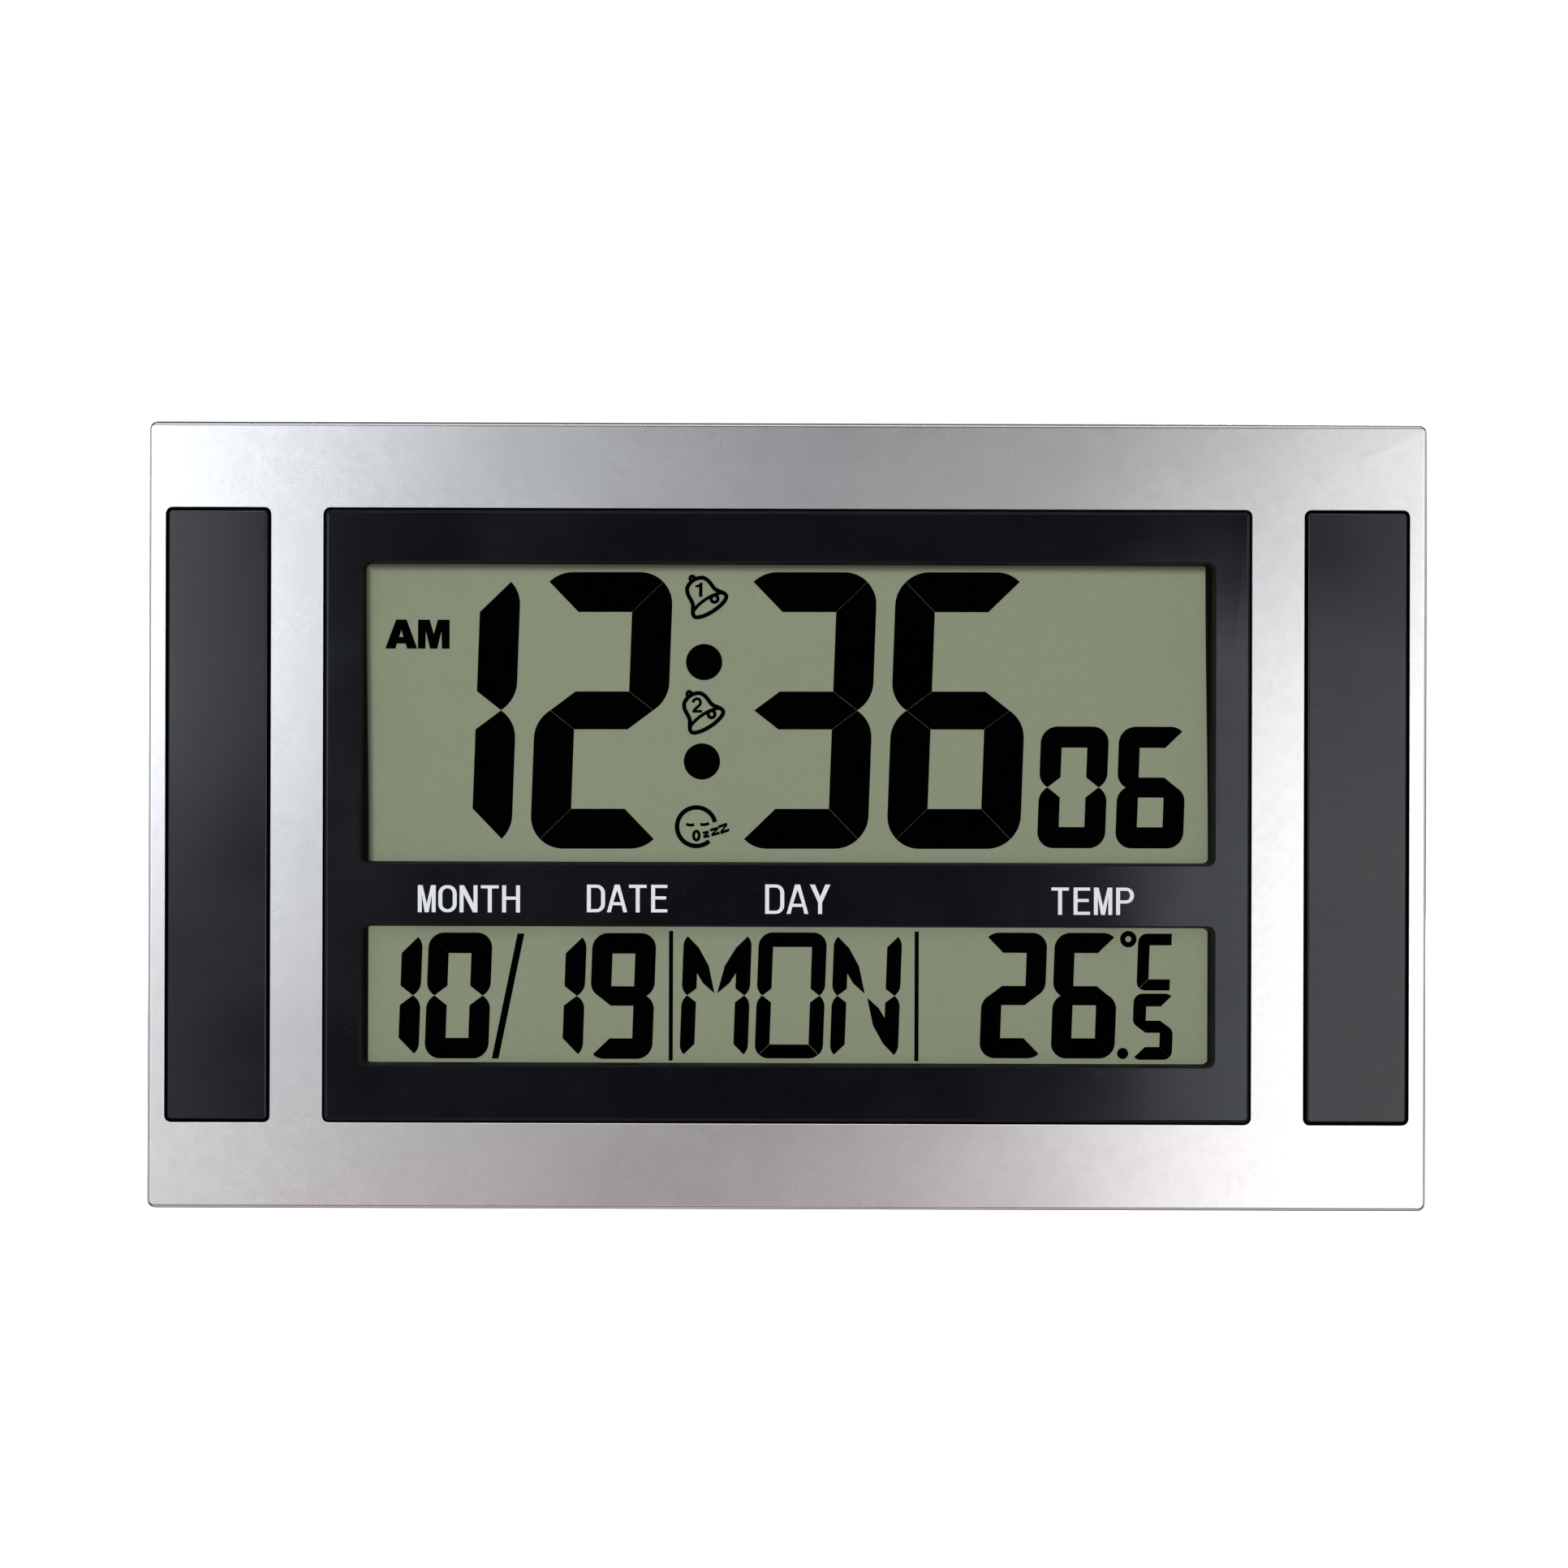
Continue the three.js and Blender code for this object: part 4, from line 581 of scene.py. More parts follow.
@dataclass(frozen=True)
class RevealShadeFinish(Finish):
    """The walls of the two windows, with painted shade that deepens towards the panel."""

    depth: Pair = (-13.9, -11.4)
    # share of black that the painted shade reaches at the wall's foot
    dark: float = 0.95

    def shade(self, graph: Graph, place: Socket, colour: Socket) -> Socket:
        """Paints shade into the colour, from the front of the wall down to black at its foot."""
        return graph.mix(graph.rise(graph.axis(place, "Y"), *self.depth, 0.0, self.dark), colour, BLACK)


@dataclass(frozen=True)
class RimShadeFinish(Finish):
    """A satin paint with a thin painted shade line just below the top rim."""

    # heights of the painted shade line under the top rim
    painted_shade_band: Pair = (162.14, 162.46)
    soft: float = 0.1
    depth: float = 0.5

    def shade(self, graph: Graph, place: Socket, colour: Socket) -> Socket:
        """Paints shade between two heights, with soft edges.

        Args:
            graph: the material's graph.
            place: the point on the skin.
            colour: its plain colour.

        Returns:
            The shaded colour.
        """
        height, (low, high) = graph.axis(place, "Z"), self.painted_shade_band
        above = graph.rise(height, low - self.soft, low, 0.0, self.depth)
        under = graph.rise(height, high, high + self.soft, self.depth, 0.0)
        return graph.mix(graph.math("MINIMUM", above, under), colour, BLACK)


@dataclass(frozen=True)
class SleeveFinish(Finish):
    """A printed battery sleeve: a second colour from one end up to a line across the cell."""

    edge: float = 0.0
    side: float = 1.0
    soft: float = 0.05

    def pattern(self, graph: Graph, place: Socket, skin: bpy.types.Node) -> Socket:
        """Gives the second colour beyond the line, with a soft edge."""
        past = graph.math("SUBTRACT", graph.axis(place, "X"), self.edge * MM)
        return graph.rise(graph.math("MULTIPLY", past, self.side), -self.soft, self.soft)


MATTE = {"grain": 900.0, "relief": 0.01}
SLEEVE = ((0.045, 0.055, 0.075), (0.46, 0.46, 0.45), (0.22, 0.34))


class Paint:
    """The clock's finishes, each named for what it is."""

    # silver with a painted shade line under its top rim
    SILVER = RimShadeFinish("silver_satin_paint", (0.79, 0.79, 0.80), (0.84, 0.84, 0.85), (0.265, 0.275), metal=0.92,
                          grain=700.0, relief=0.004)
    GLOSS = Finish("gloss_black_moulding", (0.0022, 0.0023, 0.0042), (0.0036, 0.0037, 0.0058), (0.09, 0.14),
                   specular=0.53, grain=700.0, relief=0.008, speck=0.06, gleam=(0.84, 0.92, 1.0))
    CHARCOAL = Finish("charcoal_satin_strip", (0.0034, 0.0037, 0.0095), (0.0060, 0.0063, 0.0130), (0.12, 0.17),
                      specular=0.46, grain=900.0, relief=0.02, speck=0.12)
    # painted gap shade: pocket walls of the bezel, and sides and edges of the strips
    WALL = Finish("painted_gap_shade_black", (0.0012, 0.0012, 0.0013), (0.0022, 0.0022, 0.0023), (0.75, 0.9), specular=0.0,
                  **MATTE)
    # window walls, with painted shade that deepens towards the panel
    REVEAL = RevealShadeFinish("window_reveal_painted_shade", (0.0085, 0.0088, 0.0100), (0.0125, 0.0130, 0.0145), (0.5, 0.62),
                          specular=0.1, **MATTE)
    FILM = FilmFinish("lcd_polariser_film", (0.280, 0.320, 0.212), (0.293, 0.335, 0.223), (0.55, 0.68),
                      specular=0.06, **MATTE)
    INK = Finish("lcd_dark_figures", (0.0003, 0.0003, 0.0004), (0.0008, 0.0008, 0.0009), (0.7, 0.85), specular=0.0,
                 **MATTE)
    LEGEND = Finish("white_printed_legend", (0.88, 0.90, 0.95), (0.92, 0.94, 0.98), (0.45, 0.6), specular=0.3,
                    grain=1500.0, relief=0.03)
    BACK = Finish("black_grained_back", (0.0205, 0.0205, 0.021), (0.0265, 0.0265, 0.0275), (0.46, 0.53),
                  grain=1500.0, relief=0.35, speck=0.10)
    KEY = Finish("black_satin_keys", (0.014, 0.014, 0.015), (0.022, 0.022, 0.023), (0.32, 0.45), grain=3000.0,
                 relief=0.08)
    STEEL = Finish("plated_steel", (0.52, 0.51, 0.49), (0.66, 0.65, 0.63), (0.2, 0.34), metal=1.0, grain=1800.0)
    GLASS = Finish("clear_cell_glass", (0.82, 0.86, 0.83), (0.88, 0.91, 0.88), (0.03, 0.06), grain=500.0,
                   relief=0.0, glass=1.0)
    FOIL = Finish("reflecting_film", (0.50, 0.53, 0.45), (0.58, 0.60, 0.52), (0.3, 0.42), metal=0.4, grain=6000.0,
                  relief=0.03)
    WHITE = Finish("white_moulding", (0.70, 0.70, 0.68), (0.77, 0.77, 0.75), (0.4, 0.55), grain=2200.0, relief=0.1)
    RUBBER = Finish("striped_rubber", (0.03, 0.03, 0.032), (0.30, 0.30, 0.29), (0.6, 0.75), grain=4000.0,
                    relief=0.15)
    BOARD = Finish("green_circuit_board", (0.012, 0.085, 0.030), (0.020, 0.125, 0.045), (0.28, 0.42), grain=700.0,
                   relief=0.1)
    EPOXY = Finish("black_epoxy", (0.006, 0.006, 0.006), (0.012, 0.012, 0.012), (0.18, 0.3), grain=600.0)
    BRASS = Finish("buzzer_brass", (0.62, 0.42, 0.16), (0.74, 0.53, 0.24), (0.2, 0.35), metal=1.0, grain=1500.0)
    CERAMIC = Finish("silvered_ceramic", (0.66, 0.66, 0.62), (0.76, 0.76, 0.73), (0.35, 0.5), metal=0.3,
                     grain=3000.0, relief=0.08)
    RED_WIRE = Finish("red_insulation", (0.42, 0.012, 0.010), (0.55, 0.020, 0.016), (0.35, 0.5))
    BLACK_WIRE = Finish("black_insulation", (0.010, 0.010, 0.010), (0.018, 0.018, 0.018), (0.35, 0.5))
    SLEEVE_LEFT = SleeveFinish("sleeve_band_left", *SLEEVE, grain=2000.0, relief=0.02, edge=54.5, side=-1.0)
    SLEEVE_RIGHT = SleeveFinish("sleeve_band_right", *SLEEVE, grain=2000.0, relief=0.02, edge=89.5, side=1.0)
    CAN = Finish("bare_battery_can", (0.55, 0.55, 0.56), (0.68, 0.68, 0.69), (0.2, 0.32), metal=1.0, grain=1600.0,
                 relief=0.04)


SLOT_FINISH = {
    "silver_paint": Paint.SILVER, "charcoal_satin": Paint.CHARCOAL, "black_gloss": Paint.GLOSS,
    "lcd_film": Paint.FILM, "lcd_glass": Paint.GLASS, "lcd_reflector": Paint.FOIL, "white_plastic": Paint.WHITE,
    "zebra_rubber": Paint.RUBBER, "circuit_board": Paint.BOARD, "black_epoxy": Paint.EPOXY,
    "bright_steel": Paint.STEEL, "key_plastic": Paint.KEY, "buzzer_brass": Paint.BRASS,
    "buzzer_ceramic": Paint.CERAMIC, "red_lead": Paint.RED_WIRE, "black_lead": Paint.BLACK_WIRE,
    "back_plastic": Paint.BACK, "battery_can": Paint.CAN,
}
node_slots = {name: thing.data.materials[0].name for name, thing in frame["nodes"].items()}


def dress_nodes() -> None:
    """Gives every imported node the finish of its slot."""
    for name, thing in frame["nodes"].items():
        thing.data.materials[0] = SLOT_FINISH[node_slots[name]].material()


@dataclass(frozen=True)
class Moulding:
    """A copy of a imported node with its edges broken, for the skins that are looked at closely."""

    node: str
    edge: float
    # finish of painted shade for side, tilted and sunk faces: gap shadows and dark walls
    wall: Finish | None = None
    inset: float = 0.0
    shades: bool = True
    level: float = 1.0
    sunk: float = 1e3
    turn: float = 38.0
    segments: int = 2
    ahead: float = 0.95
    weld: float = 0.002
    flat: float = 0.4
    weight: int = 100

    def paint_gap_shade(self, mesh: bpy.types.Mesh) -> None:
        """Paints shade with the wall's finish on faces with |normal.y| < ahead or |normal.z| > level, and on sunk
        ones.

        Args:
            mesh: the skin; with an inset, only what lies further in than that from its sides changes.
        """
        mesh.materials.append(self.wall.material())
        normals, middles = (np.empty(3 * len(mesh.polygons)) for _ in range(2))
        mesh.polygons.foreach_get("normal", normals)
        mesh.polygons.foreach_get("center", middles)
        low, high = span(self.node)
        rows = middles.reshape(-1, 3) / MM
        inside = np.all((rows >= low + self.inset)[:, ::2] & (rows <= high - self.inset)[:, ::2], axis=1)
        facing = np.abs(normals.reshape(-1, 3))
        sideways = (facing[:, 1] < self.ahead) | (facing[:, 2] > self.level) | (rows[:, 1] > low[1] + self.sunk)
        mesh.polygons.foreach_set("material_index", (sideways & (inside | (self.inset == 0))).astype(np.int32))

    def merged(self) -> bpy.types.Mesh:
        """Copies the node's mesh, merges its triangles' corners and joins flat ones.

        Returns:
            The new mesh, smooth but for its sharp edges.
        """
        mesh = frame["nodes"][self.node].data.copy()
        work = bmesh.new()
        work.from_mesh(mesh)
        bmesh.ops.remove_doubles(work, verts=work.verts, dist=self.weld * MM)
        bmesh.ops.dissolve_limit(work, angle_limit=math.radians(self.flat), verts=work.verts, edges=work.edges)
        work.to_mesh(mesh)
        work.free()
        if "custom_normal" in mesh.attributes:
            mesh.attributes.remove(mesh.attributes["custom_normal"])
        mesh.shade_smooth()
        mesh.set_sharp_from_angle(angle=math.radians(self.turn))
        return mesh

    def build(self) -> None:
        """Puts the copy in the node's place and rounds each edge that turns sharply."""
        mesh = self.merged()
        if self.wall:
            self.paint_gap_shade(mesh)
        thing = bpy.data.objects.new(self.node + "_skin", mesh)
        bpy.context.scene.collection.objects.link(thing)
        bevel = thing.modifiers.new("broken_edges", "BEVEL")
        bevel.width = self.edge * MM
        bevel.segments = self.segments
        bevel.limit_method = "ANGLE"
        bevel.angle_limit = math.radians(self.turn)
        bevel.use_clamp_overlap = False
        # the broken edges take the painted shade too, where there is no inset
        bevel.material = 1 if self.wall and not self.inset else -1
        evened = thing.modifiers.new("flat_faces_first", "WEIGHTED_NORMAL")
        evened.weight = self.weight
        evened.keep_sharp = True
        thing.visible_shadow = self.shades
        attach(thing, body_of(self.node))
        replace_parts(thing, self.node)
        LOG.info("%s: edges of %.2f mm", thing.name, self.edge)


BARS = {"0": "abcdef", "1": "bc", "2": "abdeg", "3": "abcdg", "5": "acdfg", "6": "acdefg", "9": "abcdfg",
        "O": "abcdef"}


@dataclass(frozen=True)
class FigureStyle:
    """Sizes of a figure made of bars in an upright cell, which is slanted when it is placed."""

    width: float
    height: float
    stroke: float
    corner: float
    waist: float
    gap: float = 0.012
    parted: float = 0.12
    girth: float = 0.95
    leaf: Pairs = ((0.305, 0.598), (0.481, 0.515), (0.383, 0.733), (0.226, 0.878))
    leaf_foot: float = 0.676

    def bar(self, letter: str, apart: float = 0.0) -> Rows:
        """Gives one bar of the cell, a at the top and on clockwise to f, with g in the middle.

        Args:
            letter: which bar.
            apart: how much wider its gap is.

        Returns:
            Its outline, drawn in by half the gap.
        """
        if letter == "g":
            outline = self._middle()
        else:
            outline = self._top() if letter in "ad" else self._upper_left()
        return offset(self.turned(outline, letter in "bc", letter in "cde"), (self.gap + apart) / 2, True)

    def turned(self, outline: Rows, across: bool, over: bool) -> Rows:
        """Mirrors an outline in the cell's middle lines and keeps it counter-clockwise.

        Args:
            outline: rows of (across, up).
            across: mirror it from left to right.
            over: mirror it from top to bottom.

        Returns:
            The mirrored rows.
        """
        far = np.array([self.width if across else 0.0, self.height if over else 0.0])
        sign = np.array([-1.0 if across else 1.0, -1.0 if over else 1.0])
        turned = far + outline * sign
        return turned[::-1] if across != over else turned

    def _top(self) -> Rows:
        """The top bar: straight below, mitred ends, and an eighth of a circle at each outer corner.

        Returns:
            Rows of (across, up).
        """
        w, h, t, r = self.width, self.height, self.stroke, self.corner
        corners = [arc((w - r, h - r), r, 45, 90), arc((r, h - r), r, 90, 135)]
        return np.vstack([[(t, h - t), (w - t, h - t)], *corners])

    def _outer_side(self) -> Rows:
        """The outer edge of the upper left bar, from its mitre down to the tip of its waist.

        Returns:
            Rows of (across, up).
        """
        h, r, p = self.height, self.corner, self.waist
        rise = math.sqrt(r * r - (r - p) ** 2)
        stop = 180 + math.degrees(math.atan2(rise, r - p))
        return np.vstack([arc((r, h - r), r, 135, 180), arc((r, h / 2 + rise), r, 180, stop)])

    def _upper_left(self) -> Rows:
        """The upper left bar: its outer edge, and the straight inner edge between two mitres."""
        h, t = self.height, self.stroke
        return np.vstack([self._outer_side(), [(t, (h + self.girth * t) / 2), (t, h - t)]])

    def _middle(self) -> Rows:
        """The middle bar, a hexagon with its tips at the waist.

        Returns:
            Rows of (across, up).
        """
        w, h, t, p = self.width, self.height, self.stroke, self.waist
        low, high = (h - self.girth * t) / 2, (h + self.girth * t) / 2
        return np.array([(p, h / 2), (t, low), (w - t, low), (w - p, h / 2), (w - t, high), (t, high)])

    def horn(self, across: bool, over: bool) -> Rows:
        """The upper left bar with a leaf that leans from its top to the cell's middle, for M and N.

        Args:
            across: mirror it to the right half.
            over: mirror it to the lower half.

        Returns:
            Its outline, drawn in by half the gap.
        """
        w, h, t = self.width, self.height, self.stroke
        inner = [(t, (h + self.girth * t) / 2), (t, self.leaf_foot * h)]
        outline = np.vstack([self._outer_side(), inner, np.array(self.leaf) * (w, h)])
        return offset(self.turned(outline, across, over), self.gap / 2, True)

    def open_c(self) -> list[Rows]:
        """The letter C: a left bar, and a top and bottom bar with square right ends.

        Returns:
            One outline for each bar.
        """
        w, h, t, r = self.width, self.height, self.stroke, self.corner
        top = np.vstack([[(t, h - t), (w, h - t), (w, h)], arc((r, h - r), r, 90, 135)])
        left = np.vstack([arc((r, h - r), r, 135, 180), arc((r, r), r, 180, 225), [(t, t), (t, h - t)]])
        pieces = [(top, self.gap), (left, self.gap), (self.turned(top, False, True), self.parted)]
        return [offset(outline, gap / 2, True) for outline, gap in pieces]

    def glyph(self, sign: str) -> list[Rows]:
        """Gives the outlines that make one sign.

        Args:
            sign: a figure, or one of the letters C, M, N and O.

        Returns:
            One outline for each dark piece.
        """
        if sign == "M":
            return [self.horn(False, False), self.horn(True, False), self.bar("e"), self.bar("c")]
        if sign == "N":
            return [self.horn(False, False), self.horn(True, True), self.bar("e"), self.bar("b")]
        if sign == "C":
            return self.open_c()
        return [self.bar(letter, self.parted if sign + letter == "Od" else 0.0) for letter in BARS[sign]]


@dataclass(frozen=True)
class FigureRow:
    """Some signs of one style on one line, each with its left edge at half height."""

    style: FigureStyle
    base: float
    signs: tuple[tuple[str, float], ...]
    climb: float = 0.0
    slant: float = 0.034

    def outlines(self) -> list[Rows]:
        """Gives every outline in place: x = left + u + slant (v - half height), z = base + v + climb x.

        Returns:
            One outline for each dark piece.
        """
        half = self.style.height / 2
        flat = [
            np.column_stack([left + o[:, 0] + self.slant * (o[:, 1] - half), self.base + o[:, 1]])
            for sign, left in self.signs for o in self.style.glyph(sign)
        ]
        return [outline + outline[:, :1] * (0.0, self.climb) for outline in flat]


class FigureSet(Enum):
    """The rows of figures and letters that the panel shows."""

    TIME = (FigureRow(FigureStyle(27.67, 57.3, 8.3, 6.9, 3.15, 0.045), 74.77,
                      (("1", -83.82), ("2", -52.31), ("3", -10.06), ("6", 21.48)), 0.0023),)
    SECONDS = (FigureRow(FigureStyle(14.05, 25.2, 4.38, 3.4, 1.75), 75.08, (("0", 52.13), ("6", 68.3))),)
    DATE = (FigureRow(FigureStyle(13.2, 26.05, 4.25, 3.2, 1.62), 31.2,
                      (("1", -88.95), ("0", -74.52), ("1", -55.0), ("9", -40.6))),)
    DAY = (FigureRow(FigureStyle(14.1, 26.15, 3.02, 2.9, 1.15), 31.33,
                     (("M", -21.73), ("O", -6.19), ("N", 9.38))),)
    TEMPERATURE = (
        FigureRow(FigureStyle(13.2, 26.0, 4.18, 3.2, 1.62), 31.56, (("2", 40.34), ("6", 55.1))),
        FigureRow(FigureStyle(8.32, 13.7, 2.66, 1.8, 0.95), 31.33, (("5", 71.65),)),
        FigureRow(FigureStyle(6.92, 11.82, 2.42, 1.8, 0.9), 45.63, (("C", 72.6),)),
    )


@dataclass(frozen=True)
class BellSign:
    """A tilted bell in line: a shell that flares to a lip, an oval mouth, a ring clapper and a ring knob."""

    centre: Pair
    number: str
    tilt: float = 33.2
    half: Pairs = (
        (3.94, 0.225), (3.753, 0.676), (3.303, 1.351), (2.89, 1.989), (2.687, 2.672), (2.627, 3.528),
        (2.567, 4.166), (2.417, 4.767), (2.079, 5.442), (1.569, 5.84), (0.848, 6.141), (0.0, 6.268),
    )
    lip: Pair = (3.98, 1.336)
    lip_arc: Pair = (190, 350)
    mouth: Pair = (4.2, 1.539)
    mouth_arc: Pair = (158, 22)
    line: float = 0.84
    thin: float = 0.68
    clapper: tuple[Pair, float] = ((1.569, 0.638), 0.713)
    knob: tuple[Pair, float] = ((0.0, 6.681), 0.465)
    lift: float = 0.004
    one: Pairs = (
        (-2.255, 1.784), (-1.551, 1.784), (-1.551, 4.769), (-2.024, 4.769), (-2.174, 4.507), (-2.437, 4.296),
        (-2.888, 4.206), (-2.998, 4.169), (-2.998, 3.751), (-2.492, 3.766), (-2.255, 3.826),
    )
    hook: Pairs = (
        (-2.898, 3.776), (-2.747, 4.189), (-2.335, 4.527), (-1.959, 4.579), (-1.509, 4.376), (-1.321, 3.926),
        (-1.396, 3.438), (-1.809, 2.988), (-2.335, 2.537), (-2.64, 2.24),
    )
    hook_width: float = 0.58
    base: Pairs = ((-2.973, 1.7), (-0.983, 1.7), (-0.983, 2.28), (-2.973, 2.28))

    def place(self, points: Rows) -> Rows:
        """Turns points by the tilt and moves them to the middle of the mouth."""
        return spin(points, self.tilt) + np.array(self.centre)

    def surfaces(self, slab: Slab) -> list[Surface]:
        """A half profile smoothed and mirrored, closed by the lower half of the lip's ellipse.

        Args:
            slab: layer that the sign lies in.

        Returns:
            The sign's flat pieces, those that cross lifted a little apart.
        """
        middle = (0.0, 0.0)
        side = smooth_path(np.array(self.half), 4)
        shell = np.vstack([side, mirrored(side)[1:], arc(middle, self.lip, *self.lip_arc, 25)])
        inner = ribbon(self.place(arc(middle, self.mouth, *self.mouth_arc, 19)), self.thin)
        rings = [self.place(circle(*ring, 28)) for ring in (self.clapper, self.knob)]
        top = slab.raised(2 * self.lift)
        return [slab.loop(self.place(shell), self.line), slab.raised(self.lift).plate(inner),
                *[top.loop(ring, self.thin) for ring in rings], *[slab.plate(o) for o in self.figure()]]

    def figure(self) -> list[Rows]:
        """The upright number inside the bell: a 1 with a flag, or a 2 with a straight base.

        Returns:
            Its outlines.
        """
        if self.number == "1":
            return [np.array(self.one) + self.centre]
        return [ribbon(smooth_path(np.array(self.hook), 4), self.hook_width) + self.centre,
                np.array(self.base) + self.centre]


@dataclass(frozen=True)
class SnoozeSign:
    """A sleeping round face in line with three letters z at its open side."""

    centre: Pair = (-18.79, 79.31)
    radius: float = 3.99
    line: float = 0.93
    opening: Pair = (14.0, 311.9)
    thin: float = 0.6
    eyes: tuple[Pairs, ...] = (
        ((-2.102, 0.515), (-1.287, 0.317), (-0.472, 0.403)),
        ((0.815, 0.498), (1.458, 0.429), (2.059, 0.498), (2.66, 0.712)),
    )
    lips: Pair = (0.017, -1.845)
    lips_half: Pair = (0.583, 0.927)
    letters: tuple[tuple[Pair, Pair, float], ...] = (
        ((1.511, -2.402), (1.28, 1.4), 10.0), ((3.211, -2.023), (1.75, 1.62), 16.0),
        ((5.074, -1.554), (1.95, 1.87), 20.0),
    )
    stroke: float = 0.57
    slope: float = 1.3

    def outlines(self) -> list[Rows]:
        """The open ring, two closed eyes and the three letters.

        Returns:
            One outline for each.
        """
        ring = ribbon(arc((0.0, 0.0), self.radius, *self.opening, 61), self.line)
        eyes = [ribbon(smooth_path(np.array(eye), 5), self.thin) for eye in self.eyes]
        letters = [self.letter(*letter) for letter in self.letters]
        return [outline + self.centre for outline in (ring, *eyes, *letters)]

    def letter(self, low: Pair, size: Pair, turn: float) -> Rows:
        """A bold z as one outline.

        Args:
            low: its lower left corner, from the middle of the face.
            size: width and height.
            turn: degrees that it leans back by.

        Returns:
            The turned outline.
        """
        (w, h), t, d = size, self.stroke, self.slope * self.stroke
        under = [(0, 0), (w, 0), (w, t), (d, t), (w, h - t)]
        over = [(w, h), (0, h), (0, h - t), (w - d, h - t), (0, t)]
        return spin(np.array(under + over), turn) + np.array(low)

    def mouth(self, slab: Slab) -> Surface:
        """The small oval mouth."""
        return slab.loop(circle(self.lips, self.lips_half, 24) + self.centre, self.thin)


@dataclass(frozen=True)
class MorningMark:
    """The heavy letters of the morning mark: two halves of an A, and an M."""

    low: Pair = (-79.98, 116.0)
    half: Pairs = (
        (-3.3, 0.0), (-1.2, 0.0), (-0.92, 1.05), (0.0, 1.05), (0.0, 2.42), (-0.43, 2.42), (0.0, 3.85), (0.0, 6.0),
        (-1.08, 6.0),
    )
    stems: Pairs = (
        (-76.52, 0.0), (-74.98, 0.0), (-74.9, 3.66), (-74.0, 0.0), (-72.54, 0.0), (-71.66, 3.66), (-71.58, 0.0),
        (-69.98, 0.0), (-69.98, 6.0), (-72.4, 6.0), (-73.26, 3.06), (-74.11, 6.0), (-76.52, 6.0),
    )

    def outlines(self) -> list[Rows]:
        """The left half of the A, the right one, and the M."""
        half = np.array(self.half)
        return [half + self.low, mirrored(half) + self.low, np.array(self.stems) + (0.0, self.low[1])]


@dataclass(frozen=True)
class LcdPanel:
    """The liquid crystal panel: its film, and the dark figures on it."""

    relief: float = 0.05
    sink: float = 0.03
    rows_z: Pair = (30.9, 57.72)
    dividers: tuple[float, ...] = (-23.95, 26.9)
    divider_width: float = 0.84
    divider_corner: float = 0.1
    slash: Pairs = ((-60.3, 31.2), (-55.03, 57.1))
    slash_width: float = 1.4
    colon: Pairs = ((-17.28, 113.39), (-17.67, 92.82))
    colon_radius: float = 3.75
    bells: tuple[BellSign, ...] = (BellSign((-16.13, 125.1), "1"), BellSign((-16.69, 101.21), "2"))
    point: Pair = (69.6, 32.62)
    point_radius: float = 1.15
    degree: Pair = (70.7, 56.3)
    degree_radius: Pair = (1.7, 0.62)
    sight: Pair = (-0.67, 88.2)
    growth: float = 1.0057

    def put(self, name: str, parts: Iterable[Surface]) -> None:
        """Writes one group of dark shapes, spread about the line of sight by their depth behind the front.

        Args:
            name: name of the piece.
            parts: its shapes.
        """
        drawn = Surface.joined(list(parts))
        middle = np.array([self.sight[0], 0.0, self.sight[1]])
        grown = middle + (drawn.points - middle) * np.array([self.growth, 1.0, self.growth])
        Surface(grown, drawn.quads, drawn.caps).piece(name, "case", Paint.INK, "lcd_film")

    def build(self) -> None:
        """Draws every figure, letter and sign on the film."""
        front = float(span("lcd_front_polariser")[0, 1])
        slab = Slab(front - self.relief, front + self.sink)
        marks = {FigureSet.DATE: self.date_marks(slab), FigureSet.TEMPERATURE: self.temperature_marks(slab)}
        for rows in FigureSet:
            outlines = [outline for row in rows.value for outline in row.outlines()]
            figures = [slab.plate(o) for o in outlines] + marks.get(rows, [])
            self.put(f"lcd_{rows.name.lower()}_figures", figures)
        self.put("lcd_colon", [slab.plate(circle(dot, self.colon_radius, 48)) for dot in self.colon])
        for bell in self.bells:
            self.put(f"lcd_alarm_sign_{bell.number}", bell.surfaces(slab))
        snooze = SnoozeSign()
        self.put("lcd_snooze_sign", [slab.plate(o) for o in snooze.outlines()] + [snooze.mouth(slab)])
        self.put("lcd_morning_mark", [slab.plate(o) for o in MorningMark().outlines()])

    def date_marks(self, slab: Slab) -> list[Surface]:
        """The slash between month and date, and the two thin dividers.

        Args:
            slab: layer that they lie in.

        Returns:
            Their plates.
        """
        (x0, z0), (x1, z1) = self.slash
        (low, high), half, side = self.rows_z, self.slash_width / 2, self.divider_width / 2
        slash = np.array([(x0 - half, z0), (x0 + half, z0), (x1 + half, z1), (x1 - half, z1)])
        bars = [rounded((x - side, low), (x + side, high), self.divider_corner, 3) for x in self.dividers]
        return [slab.plate(o) for o in (slash, *bars)]

    def temperature_marks(self, slab: Slab) -> list[Surface]:
        """The decimal point and the ring that stands for degrees."""
        dot = slab.plate(circle(self.point, self.point_radius, 32))
        return [dot, slab.band(*(circle(self.degree, r, 32) for r in self.degree_radius))]


